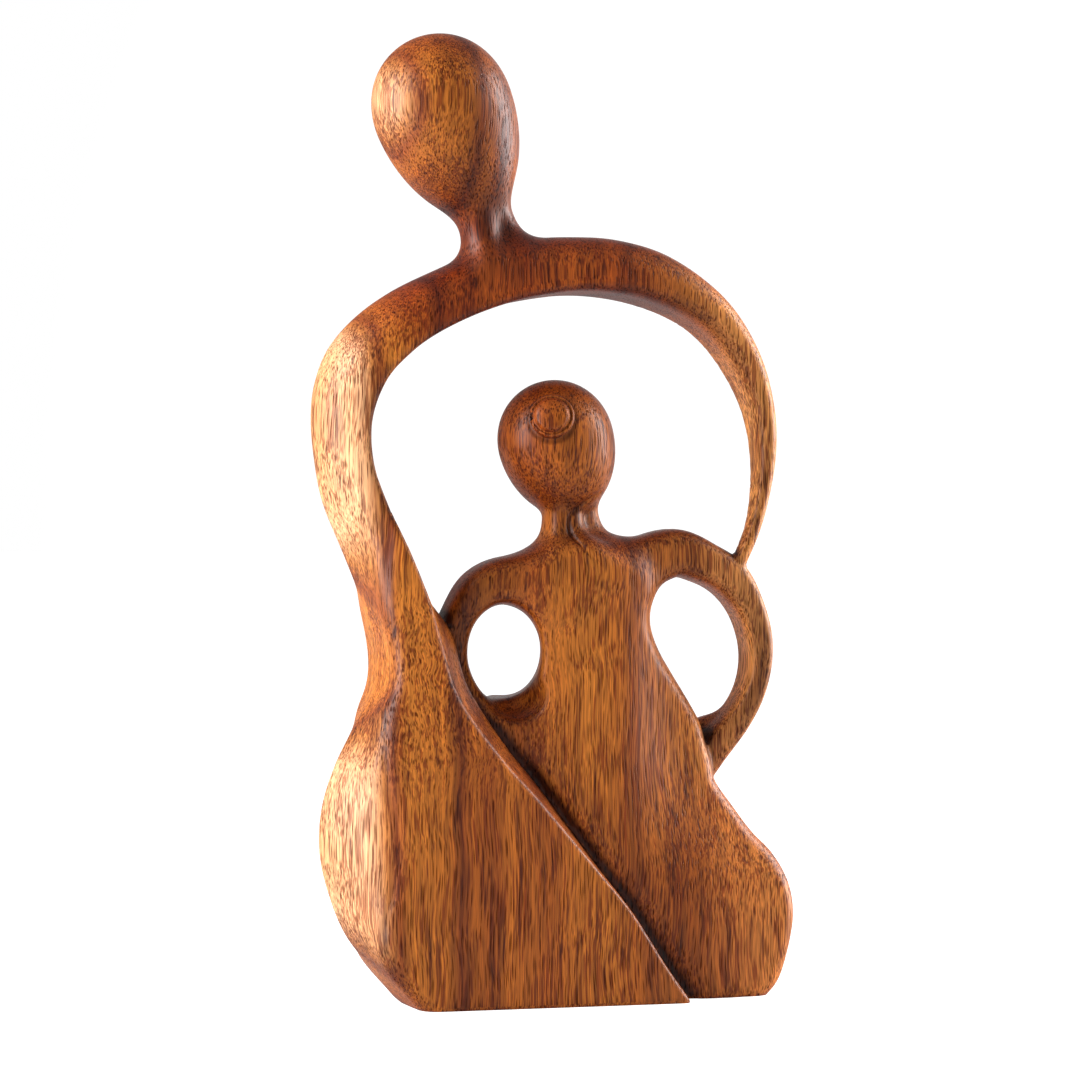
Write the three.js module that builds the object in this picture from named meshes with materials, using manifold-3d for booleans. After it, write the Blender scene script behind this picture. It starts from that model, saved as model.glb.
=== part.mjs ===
// Father and child, carved in the round from one block of wood.
// The father's robe and raised arm frame the child, who stands with hands on hips before it.
//
// Millimetres: x to the right, y to the back, z up. The front faces -y and the flat underside
// is at z = 0. Every form is a signed distance, negative inside the wood. The forms are joined
// with rounded creases, the surface is drawn through the zero of the whole, and flat stretches
// are then left with few triangles.
import * as THREE from "three";
import { mergeVertices } from "three/addons/utils/BufferGeometryUtils.js";
import Module from "manifold-3d";

// Wood
const WOOD_COLOUR = "#9a5a26";
const WOOD_ROUGHNESS = 0.42;

// Father's robe and arms, in front view
const FATHER_OUTSIDE = [
  [-41.8, -2.8], [-52.3, 9.2], [-61.8, 21.1], [-67.3, 34.1], [-70.1, 46.9], [-69.4, 60.3],
  [-65.2, 73.5], [-58.5, 86.2], [-53, 96.7], [-52.4, 108.1], [-56, 121.6], [-62.5, 137.7],
  [-69, 153.7], [-71.7, 168], [-72.5, 180], [-71.3, 190.2], [-67, 200.9], [-58.5, 210.6],
  [-47, 218.8], [-32.5, 225.9], [-18.5, 232], [-4, 235.5], [10, 236.5], [24.1, 235.9],
  [39.2, 232], [53.1, 223.8], [63.6, 213.5], [71.5, 199.2], [75.3, 184.1], [75.6, 170.5],
  [73.2, 157], [69.4, 145], [64, 133],
];
const FATHER_INSIDE = [
  [46, -8], [41.5, 0], [33.3, 11.7], [22.7, 28], [12.2, 40.7], [-6.7, 62.7], [-16.4, 73.2],
  [-25.8, 85], [-32.6, 96], [-37, 111], [-40.3, 124.5], [-45.3, 137.5], [-51.3, 151],
  [-56, 164.8], [-56.4, 178.3], [-52, 190.3], [-45, 198.3], [-36.8, 204.5], [-25, 210.5],
  [-13.3, 214.8], [-2.3, 217.4], [9.6, 219], [21.3, 218.7], [33, 216.6], [45.3, 212],
  [54.6, 205.2], [62.2, 194.6], [67, 183], [68.7, 170.7], [68, 158.5], [65.3, 147], [60.5, 136.5],
];
const OUTSIDE_CLOSING = [[58, 120], [95, 80], [95, -60], [-42, -60]];
const INSIDE_CLOSING = [[66, 128], [200, 110], [200, -8]];

// Along the father's middle line: x, z, middle y, half depth, rounding of the front's inner edge
const FATHER_DEPTHS = [
  [0, -5, -1.2, 24.3, 1.6], [-5, 30, -1.2, 24.3, 1.6], [-25, 60, -1.2, 24.3, 1.6], [-42, 90, -1.2, 23, 1.6],
  [-47, 115, -1.2, 21.5, 1.8], [-54, 145, -1, 20, 2], [-62, 172, -0.5, 18.5, 2.5], [-58.5, 195, 0, 17.5, 3],
  [-41, 210.5, 0, 16.5, 3], [-16, 223.6, 0, 15.2, 3], [10, 227.5, 0, 14, 4], [36, 223.7, 0, 13, 7],
  [58, 208.3, -0.5, 11.5, 9], [69.6, 183.2, -2.5, 9, 8], [69.3, 158, -5.5, 6.5, 6],
  [65.5, 145, -7.5, 5, 4], [62.6, 136.2, -8.5, 4, 3],
];

// Along the outside: x, z, how far in the side reaches, its fullness and its squareness, where
// 1 is a flat facet and 2 a half round
const FATHER_SIDE = [
  [-46, 0, 1.5, 1, 1.25], [-53.5, 10, 1.5, 1, 1.25], [-57.5, 16, 4, 1, 1.25],
  [-61.2, 22, 8.6, 1, 1.25], [-65.3, 31, 14.6, 1, 1.25], [-68.3, 43, 18.9, 1, 1.25],
  [-68.2, 55, 19.6, 1, 1.25], [-66, 67, 15.6, 1, 1.25], [-62.8, 76, 10.8, 1, 1.25],
  [-58.4, 85, 5.6, 1, 1.25], [-55.7, 92, 2, 1, 1.25], [-54, 100, 1.5, 1, 1.25],
  [-54.2, 112, 1.5, 1, 1.25], [-56.5, 121.5, 2.9, 1, 1.25], [-59.3, 130.5, 6.6, 1, 1.25],
  [-61.9, 138.5, 11, 1, 1.3], [-64.8, 146, 15, 1, 1.4], [-68, 154, 17, 1, 1.5],
  [-71.7, 168, 17.5, 1, 1.6], [-72.5, 180, 17.5, 1, 1.6], [-70.7, 190, 17.5, 1, 1.6],
  [-66.7, 200.7, 17, 1.02, 1.65], [-58.7, 210.8, 16.5, 1.05, 1.7],
  [-47, 218.8, 15.5, 1.08, 1.8], [-32.5, 225.8, 15, 1.08, 2], [-4, 235.5, 14, 1.08, 2],
  [24, 235.5, 12.5, 1.08, 2], [52.7, 223.3, 11, 1.08, 2], [71, 199, 8.5, 1.08, 2],
  [75.3, 170.5, 7, 1.08, 2], [69.3, 145, 4.5, 1.08, 2], [64, 133, 4, 1.08, 2],
];
const FACE_RIDGE = 6; // rounding between the flat front and the rounded side
const BACK_EDGE = 1.6; // rounding of the inner edge at the back
const ROBE_WALL_DEPTH = 11; // how far in the wall under that edge keeps its slope
const ROBE_WALL_SLOPE = { low: 0.15, high: 0.6, from: 20, to: 110 };
const ROBE_WALL_END = { from: 112, to: 130 };

// Heads: the middle, the reach up and down the long axis, half width and depth, how much
// wider the top is, and the tilt to the left
const FATHER_HEAD = {
  middle: [-30.3, -1, 272.6], up: 25.9, down: 32.7, half: 21.7, depth: 20.5, taper: 0.089,
  tilt: 22.7,
};
const CHILD_HEAD = {
  middle: [4.2, -4, 172.2], up: 19.7, down: 23, half: 18.1, depth: 17, taper: 0.033, tilt: 16.7,
};
const BUN = { middle: [-1.4, -19.4, 179.9], out: [-0.27, -0.92, 0.3], radius: 6.9, flatness: 1.9 };
const BUN_GROOVE = { radius: 7.5, half: 0.9, lift: -0.6 };

// Rounded limbs: x, z, half width, middle y, half depth
const FATHER_THROAT = [
  [-24.5, 252.5, 6.5, -2, 8], [-20.8, 242, 6.5, -2.5, 7.5], [-18.5, 229, 5, -1, 9],
];
const FATHER_NAPE = [[-16.4, 254, 3.8, 3, 8], [-13.2, 243, 4.4, 2, 8], [-9, 229, 6.5, 1, 9]];
const CHILD_THROAT = [
  [3.8, 158, 5.8, -4.5, 7], [4.2, 149, 4.6, -5, 7], [2.2, 140, 4.6, -4.5, 8], [-3, 131, 6.5, -3, 9],
];
const CHILD_NAPE = [
  [12.4, 158, 6.2, -1.5, 7], [13.4, 149, 5, -1, 6.5], [17, 140.7, 5.8, -1, 8], [25, 134, 7, -3, 9],
];
const CHILD_NECK_CORE = [
  [8.5, 158, 4, -3, 7.5], [8.6, 148, 3.6, -3, 7.5], [11, 139, 4.5, -3.5, 9], [14, 131, 6, -3, 10],
];
const CHILD_SINEW = [
  [8, 152, 1.8, -7.3, 2.4], [9, 144.5, 1.6, -9.1, 2.4], [13.2, 137, 1.6, -11.2, 2.4],
  [18.7, 130.5, 2, -12.4, 2.6],
];
const CHILD_LEFT_ARM = [
  [3, 124.5, 8.5, -3, 11], [-9, 129.6, 7.8, -3, 10.5], [-19.4, 127, 6.9, -3, 10],
  [-26.3, 118.5, 5.4, -2, 9], [-29.4, 107.5, 6, -1, 8.5], [-26.7, 97, 6, 0, 8.5],
  [-21.3, 86.7, 7.6, 0, 9], [-10, 79, 8, 0, 10],
];
const CHILD_RIGHT_ARM = [
  [17, 130.5, 9, -3, 11], [30.1, 134.5, 8.4, -3, 10], [42, 138.1, 7.6, -3, 9.5],
  [52.6, 134.7, 6.6, -3, 9], [60.3, 130, 6.3, -2.5, 8.5], [66.2, 121.8, 5.1, -1.5, 8.5],
  [69.8, 112, 4.5, -0.5, 8.5], [70.2, 102.5, 4, 0, 8.5], [67.8, 93.2, 3.9, 0.5, 8.5],
  [62.9, 84.7, 4.5, 1.5, 8], [55.6, 76.1, 5.4, 2.5, 7.6], [50, 67, 5, 3.5, 6.5],
];
const CHILD_RIGHT_HAND = [[63.5, 83, 4.5, 8, 4.5], [57, 81.5, 5, 9.5, 4.5], [50, 77, 8, 9, 5]];
const ARM_SQUARENESS = 3.4;
const NECK_SQUARENESS = 2;

// Child's body in front view, and how deep it is in front of and behind the middle
const CHILD_BODY = [
  [-4.8, 135.8], [2, 140], [12, 141], [22, 137], [30, 133], [33.4, 126.2], [32.8, 116.6],
  [35.6, 108.7], [40.9, 100.4], [46.6, 91.8], [50.3, 85.2], [52, 79.5], [53.8, 73.4], [55.4, 66.8],
  [61.1, 58.8], [66.8, 51.1], [72.8, 44.8], [76.9, 38.1], [79, 31.9], [79.6, 25.8], [78.8, 19.2],
  [76.6, 10.5], [74.3, 4.6], [71.3, 0.6], [66.5, -4], [58, -6], [38, -6], [10, -6], [-20, 0],
  [-20, 50], [-24, 83], [-16, 92],
  [-9.5, 96], [-6, 100], [-5, 107], [-6.5, 116], [-10, 121.5], [-14, 128],
];
const BODY_ROUNDING = 4.5;
const CHEST_FRONT = 17.5;
const CHEST_LEFT = { x: 2, slope: 0.45 };
const CHEST_RIGHT = { x: 23.8, slopeHigh: 0.45, slopeLow: 0.12, zHigh: 85, zLow: 35 };
const EDGE_FRONT = 9;
const FOOT_SWELL = { depth: 3, zHigh: 60, zLow: 15 };
const BODY_BACK = { depth: 16, x: 28, slope: 0.3, least: 11 };
const VALLEY = { front: 4, back: 2, width: 7 };

// The left arm's opening leans with the depth, and a scoop is carved in front below it
const ARM_OPENING = { x: -11.2, z: 107.7, radii: [11.3, 14], lean: 0.26, rounding: 3 };
const SCOOP = { middle: [-11.5, -18, 94.5], radii: [9.5, 14.5, 8.5], rounding: 2.5 };

// A narrow pocket between the right hand and the hip, and how far the hand runs into the body
const HIP_POCKET = {
  middle: [53.2, -4, 86.5], up: 9, down: 10, half: 3, depth: 8, taper: 0.4, tilt: -11,
};
const HIP_POCKET_ROUNDING = 1;
const HIP_JOIN = { low: 1.5, high: 7, from: 92, to: 112 };

// Drawing of the surface
const STEPS = 8;
const SIDE_STEPS = 4;
const PITCH = 1.5;
const BELOW_GROUND = 2;
const TRIANGLES = 9600;
const GROUND = { width: 300, depth: 120, height: 20 };

// Joins of two distances, rounded over a width k
function join(a, b, k) {
  const h = Math.max(k - Math.abs(a - b), 0) / k;
  return Math.min(a, b) - (h * h * k) / 4;
}

function cut(a, b, k) {
  return -join(-a, -b, k);
}

function ramp(value, from, to) {
  return THREE.MathUtils.smoothstep(value, from, to);
}

// A smooth line through points of any number of columns
function smoothLine(points, steps) {
  const mirror = (a, b) => a.map((value, i) => 2 * value - b[i]);
  const last = points.length - 1;
  const all = [mirror(points[0], points[1]), ...points, mirror(points[last], points[last - 1])];
  const line = [];
  for (let i = 1; i <= last; i += 1) {
    for (let step = 0; step < steps; step += 1) {
      const t = step / steps;
      line.push(all[i].map((b, column) => {
        const [a, c, d] = [all[i - 1][column], all[i + 1][column], all[i + 2][column]];
        return 0.5 * (2 * b + (c - a) * t + (2 * a - 5 * b + 4 * c - d) * t * t
          + (3 * b - a - 3 * c + d) * t * t * t);
      }));
    }
  }
  line.push(points[last]);
  return line;
}

// Distance in front view to a closed outline, negative inside
function outlineDistance(outline, x, z) {
  let nearest = Infinity;
  let inside = false;
  for (let i = 0; i < outline.length; i += 1) {
    const [ax, az] = outline[i];
    const [bx, bz] = outline[(i + 1) % outline.length];
    const dx = bx - ax;
    const dz = bz - az;
    const along = ((x - ax) * dx + (z - az) * dz) / (dx * dx + dz * dz || 1);
    const t = Math.min(Math.max(along, 0), 1);
    nearest = Math.min(nearest, Math.hypot(x - ax - t * dx, z - az - t * dz));
    if (az > z !== bz > z && x < ax + (dx * (z - az)) / dz) {
      inside = !inside;
    }
  }
  return inside ? -nearest : nearest;
}

// Distance in front view to an open line, with its other columns at the nearest point
function nearestStation(line, x, z) {
  let best = Infinity;
  let segment = 0;
  let place = 0;
  for (let i = 0; i + 1 < line.length; i += 1) {
    const [ax, az] = line[i];
    const dx = line[i + 1][0] - ax;
    const dz = line[i + 1][1] - az;
    const along = ((x - ax) * dx + (z - az) * dz) / (dx * dx + dz * dz || 1);
    const t = Math.min(Math.max(along, 0), 1);
    const distance = Math.hypot(x - ax - t * dx, z - az - t * dz);
    if (distance < best) {
      [best, segment, place] = [distance, i, t];
    }
  }
  const columns = [best];
  for (let column = 2; column < line[0].length; column += 1) {
    const from = line[segment][column];
    columns.push(from + place * (line[segment + 1][column] - from));
  }
  return columns;
}

// A rounded bar along a line: squareness 2 is an ellipse in section
function limbDistance([away, half, middle, depth], y, squareness) {
  const across = (Math.abs(y - middle) * half) / depth;
  const reach = (away ** squareness + across ** squareness) ** (1 / squareness);
  return (reach - half) * Math.min(1, depth / half);
}

// A ball, or a disc in two columns, with a radius of its own in each direction
function roundDistance(offsets, radii) {
  const ratio = Math.hypot(...offsets.map((offset, i) => offset / radii[i]));
  const rise = Math.hypot(...offsets.map((offset, i) => offset / radii[i] ** 2));
  return (ratio * (ratio - 1)) / Math.max(rise, 1e-6);
}

// An egg with its wide end up
function eggDistance(egg, x, y, z) {
  const tilt = THREE.MathUtils.degToRad(egg.tilt);
  const [dx, dy, dz] = [x - egg.middle[0], y - egg.middle[1], z - egg.middle[2]];
  const up = dz * Math.cos(tilt) - dx * Math.sin(tilt);
  const side = dx * Math.cos(tilt) + dz * Math.sin(tilt);
  const reach = up > 0 ? egg.up : egg.down;
  const wide = Math.max(1 + (egg.taper * up) / reach, 0.3);
  return roundDistance([up, side, dy], [reach, egg.half * wide, egg.depth * wide]);
}

const fatherOutside = [...smoothLine(FATHER_OUTSIDE, STEPS), ...OUTSIDE_CLOSING];
const fatherInside = [...smoothLine(FATHER_INSIDE, STEPS), ...INSIDE_CLOSING];
const fatherDepths = smoothLine(FATHER_DEPTHS, STEPS);
const fatherSide = smoothLine(FATHER_SIDE, SIDE_STEPS);
const childBody = smoothLine([...CHILD_BODY, CHILD_BODY[0]], STEPS);
const limbs = {
  fatherThroat: FATHER_THROAT,
  fatherNape: FATHER_NAPE,
  childThroat: CHILD_THROAT,
  childNape: CHILD_NAPE,
  childNeckCore: CHILD_NECK_CORE,
  childSinew: CHILD_SINEW,
  childLeftArm: CHILD_LEFT_ARM,
  childRightArm: CHILD_RIGHT_ARM,
  childRightHand: CHILD_RIGHT_HAND,
};
const limbLines = Object.entries(limbs).map(([name, points]) => [name, smoothLine(points, STEPS)]);

// Everything that is the same all the way through the block at one place of the front view
function measure(x, z) {
  const place = { x, z };
  place.outside = outlineDistance(fatherOutside, x, z);
  place.inside = outlineDistance(fatherInside, x, z);
  place.depths = nearestStation(fatherDepths, x, z).slice(1);
  place.side = nearestStation(fatherSide, x, z).slice(1);
  place.body = outlineDistance(childBody, x, z);
  for (const [name, line] of limbLines) {
    place[name] = nearestStation(line, x, z);
  }
  const valley = Math.exp(-((Math.max(-place.inside, 0) / VALLEY.width) ** 2));
  const low = 1 - ramp(z, CHEST_RIGHT.zLow, CHEST_RIGHT.zHigh);
  const slope = THREE.MathUtils.lerp(CHEST_RIGHT.slopeHigh, CHEST_RIGHT.slopeLow, low);
  let front = join(CHEST_FRONT, CHEST_FRONT - slope * (x - CHEST_RIGHT.x), 2);
  front = join(front, CHEST_FRONT + CHEST_LEFT.slope * (x - CHEST_LEFT.x), 6);
  const swell = FOOT_SWELL.depth * (1 - ramp(z, FOOT_SWELL.zLow, FOOT_SWELL.zHigh));
  place.front = cut(front, EDGE_FRONT, 4) + swell - VALLEY.front * valley;
  const back = join(BODY_BACK.depth, BODY_BACK.depth - BODY_BACK.slope * (x - BODY_BACK.x), 6);
  place.back = cut(back, BODY_BACK.least, 4) - VALLEY.back * valley;
  return place;
}

function robeDistance(place, y) {
  const [middle, half, frontEdge] = place.depths;
  const [reach, fullness, squareness] = place.side;
  const off = Math.abs(y - middle);
  const across = (off * reach) / (half * fullness);
  const over = place.outside + reach;
  const bend = (Math.max(over, 0) ** squareness + across ** squareness) ** (1 / squareness);
  const side = bend + Math.min(over, 0) - reach;
  const block = cut(side, off - half, FACE_RIDGE);
  const steep = ramp(place.z, ROBE_WALL_SLOPE.from, ROBE_WALL_SLOPE.to);
  const lean = THREE.MathUtils.lerp(ROBE_WALL_SLOPE.low, ROBE_WALL_SLOPE.high, steep)
    * (1 - ramp(place.z, ROBE_WALL_END.from, ROBE_WALL_END.to));
  const below = THREE.MathUtils.clamp(half - off, -5, ROBE_WALL_DEPTH);
  const wall = (-place.inside - lean * below) / Math.hypot(1, lean);
  return cut(block, wall, y < middle ? frontEdge : BACK_EDGE);
}

function fatherDistance(place, y) {
  const throat = limbDistance(place.fatherThroat, y, NECK_SQUARENESS);
  const nape = limbDistance(place.fatherNape, y, NECK_SQUARENESS);
  const head = eggDistance(FATHER_HEAD, place.x, y, place.z);
  const top = join(head, join(throat, nape, 3.5), 5);
  return join(robeDistance(place, y), top, 7);
}

function childHeadDistance(place, y) {
  const out = new THREE.Vector3(...BUN.out).normalize();
  const from = new THREE.Vector3(place.x, y, place.z).sub(new THREE.Vector3(...BUN.middle));
  const along = from.dot(out);
  const across = Math.sqrt(Math.max(from.lengthSq() - along * along, 0));
  const bun = Math.hypot(across, along * BUN.flatness) - BUN.radius;
  const groove = Math.hypot(across - BUN_GROOVE.radius, along - BUN_GROOVE.lift) - BUN_GROOVE.half;
  const skull = eggDistance(CHILD_HEAD, place.x, y, place.z);
  return join(cut(skull, -groove, 0.8), bun, 0.4);
}

function childBodyDistance(place, y) {
  const half = y < 0 ? place.front : place.back;
  const in2d = place.body + BODY_ROUNDING;
  const over = Math.abs(y) - half + BODY_ROUNDING;
  const corner = Math.hypot(Math.max(in2d, 0), Math.max(over, 0));
  return corner + Math.min(Math.max(in2d, over), 0) - BODY_ROUNDING;
}

function childDistance(place, y) {
  const left = limbDistance(place.childLeftArm, y, ARM_SQUARENESS);
  const arm = limbDistance(place.childRightArm, y, ARM_SQUARENESS);
  const hand = limbDistance(place.childRightHand, y, ARM_SQUARENESS);
  const throat = limbDistance(place.childThroat, y, NECK_SQUARENESS);
  const nape = limbDistance(place.childNape, y, NECK_SQUARENESS);
  const core = limbDistance(place.childNeckCore, y, NECK_SQUARENESS);
  const sinew = limbDistance(place.childSinew, y, NECK_SQUARENESS);
  const neck = join(join(join(throat, nape, 3), core, 3), sinew, 2.5);
  const pocket = eggDistance(HIP_POCKET, place.x, y, place.z);
  const limb = cut(join(arm, hand, 3), -pocket, HIP_POCKET_ROUNDING);
  const high = ramp(place.z, HIP_JOIN.from, HIP_JOIN.to);
  const fillet = THREE.MathUtils.lerp(HIP_JOIN.low, HIP_JOIN.high, high);
  const shoulders = join(join(childBodyDistance(place, y), left, 6), limb, fillet);
  const across = place.x - ARM_OPENING.x - ARM_OPENING.lean * y;
  const opening = roundDistance([across, place.z - ARM_OPENING.z], ARM_OPENING.radii);
  const [x, deep, z] = SCOOP.middle;
  const scoop = roundDistance([place.x - x, y - deep, place.z - z], SCOOP.radii);
  const scooped = cut(join(shoulders, neck, 6), -scoop, SCOOP.rounding);
  return join(cut(scooped, -opening, ARM_OPENING.rounding), childHeadDistance(place, y), 2);
}

function carvingDistance(place, y) {
  const wood = join(fatherDistance(place, y), childDistance(place, y), 1);
  return Math.max(wood, -place.z - BELOW_GROUND);
}

// The distances at every point of a grid of the given pitch
function sampleGrid(low, high, pitch) {
  const counts = low.map((from, i) => Math.ceil((high[i] - from) / pitch) + 1);
  const values = new Float64Array(counts[0] * counts[1] * counts[2]);
  for (let i = 0; i < counts[0]; i += 1) {
    for (let k = 0; k < counts[2]; k += 1) {
      const place = measure(low[0] + i * pitch, low[2] + k * pitch);
      for (let j = 0; j < counts[1]; j += 1) {
        values[(i * counts[1] + j) * counts[2] + k] = carvingDistance(place, low[1] + j * pitch);
      }
    }
  }
  return { low, pitch, counts, values };
}

// Fills the air wherever wood meets wood across a corner only, so that the surface never
// touches itself
function fillPinches({ pitch, counts, values }) {
  const stride = [counts[1] * counts[2], counts[2], 1];
  let filled = true;
  while (filled) {
    filled = false;
    for (let at = 0; at < values.length; at += 1) {
      for (let axis = 0; axis < 3; axis += 1) {
        const [u, v] = [stride[axis], stride[(axis + 1) % 3]];
        const square = [at, at + u, at + u + v, at + v];
        const [a, b, c, d] = square.map((n) => values[n] < 0);
        if (a === c && b === d && a !== b) {
          const [p, q] = square.filter((n) => values[n] >= 0);
          values[values[p] < values[q] ? p : q] = -0.01 * pitch;
          filled = true;
        }
      }
    }
  }
}

// One corner in each cell that the surface crosses, and one quad around each crossed edge
function drawSurface({ low, pitch, counts, values }) {
  const stride = [counts[1] * counts[2], counts[2], 1];
  const corners = [];
  const cornerOf = new Map();
  const edges = [];
  for (let axis = 0; axis < 3; axis += 1) {
    const [u, v] = [(axis + 1) % 3, (axis + 2) % 3];
    for (const du of [0, 1]) {
      for (const dv of [0, 1]) {
        const offset = [0, 0, 0];
        offset[u] = du;
        offset[v] = dv;
        edges.push({ axis, offset });
      }
    }
  }
  const indexOf = (cell) => cell[0] * stride[0] + cell[1] * stride[1] + cell[2];
  for (let i = 0; i + 1 < counts[0]; i += 1) {
    for (let j = 0; j + 1 < counts[1]; j += 1) {
      for (let k = 0; k + 1 < counts[2]; k += 1) {
        const start = indexOf([i, j, k]);
        const sum = [0, 0, 0];
        let crossed = 0;
        for (const { axis, offset } of edges) {
          const at = start + indexOf(offset);
          const [a, b] = [values[at], values[at + stride[axis]]];
          if (a < 0 !== b < 0) {
            sum[0] += offset[0];
            sum[1] += offset[1];
            sum[2] += offset[2];
            sum[axis] += a / (a - b);
            crossed += 1;
          }
        }
        if (crossed > 0) {
          cornerOf.set(start, corners.length / 3);
          [i, j, k].forEach((n, axis) => corners.push(low[axis] + (n + sum[axis] / crossed) * pitch));
        }
      }
    }
  }
  const triangles = [];
  for (const start of cornerOf.keys()) {
    for (let axis = 0; axis < 3; axis += 1) {
      const [u, v] = [stride[(axis + 1) % 3], stride[(axis + 2) % 3]];
      const [a, b] = [values[start], values[start + stride[axis]]];
      if (a < 0 !== b < 0) {
        const around = [start - u - v, start - v, start, start - u].map((cell) => cornerOf.get(cell));
        const [p, q, r, s] = a < 0 ? around : around.reverse();
        triangles.push(p, q, r, p, r, s);
      }
    }
  }
  return { corners, triangles };
}

// The square of the distance to a set of planes, as the ten sums of its upper triangle
function addPlane(sums, at, [a, b, c], d, weight) {
  [a * a, a * b, a * c, a * d, b * b, b * c, b * d, c * c, c * d, d * d].forEach((value, i) => {
    sums[at * 10 + i] += value * weight;
  });
}

function planeError(sum, [x, y, z]) {
  return sum[0] * x * x + 2 * sum[1] * x * y + 2 * sum[2] * x * z + 2 * sum[3] * x
    + sum[4] * y * y + 2 * sum[5] * y * z + 2 * sum[6] * y
    + sum[7] * z * z + 2 * sum[8] * z + sum[9];
}

// The point nearest to all planes of a sum, or nothing where they leave it free
function bestPoint(sum) {
  const [a, b, c, d, e, f, g, h, i] = sum;
  const det = a * (e * h - f * f) - b * (b * h - f * c) + c * (b * f - e * c);
  const size = a + e + h;
  if (Math.abs(det) < 1e-5 * size ** 3) {
    return null;
  }
  const x = -(d * (e * h - f * f) - b * (g * h - f * i) + c * (g * f - e * i)) / det;
  const y = -(a * (g * h - f * i) - d * (b * h - f * c) + c * (b * i - g * c)) / det;
  const z = -(a * (e * i - g * f) - b * (b * i - g * c) + d * (b * f - e * c)) / det;
  return [x, y, z];
}

// A heap of [cost, ...] entries with the cheapest on top
class Heap {
  constructor() {
    this.items = [];
  }

  // The cheapest of an entry and the two below it
  least(at) {
    const below = [2 * at + 1, 2 * at + 2].filter((n) => n < this.items.length);
    return below.reduce((best, n) => (this.items[n][0] < this.items[best][0] ? n : best), at);
  }

  push(item) {
    const { items } = this;
    let at = items.push(item) - 1;
    while (at > 0) {
      const parent = (at - 1) >> 1;
      if (items[parent][0] <= items[at][0]) {
        break;
      }
      [items[parent], items[at]] = [items[at], items[parent]];
      at = parent;
    }
  }

  pop() {
    const { items } = this;
    const top = items[0];
    const last = items.pop();
    if (items.length > 0) {
      items[0] = last;
      let at = 0;
      let least = this.least(at);
      while (least !== at) {
        [items[least], items[at]] = [items[at], items[least]];
        at = least;
        least = this.least(at);
      }
    }
    return top;
  }
}

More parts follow.
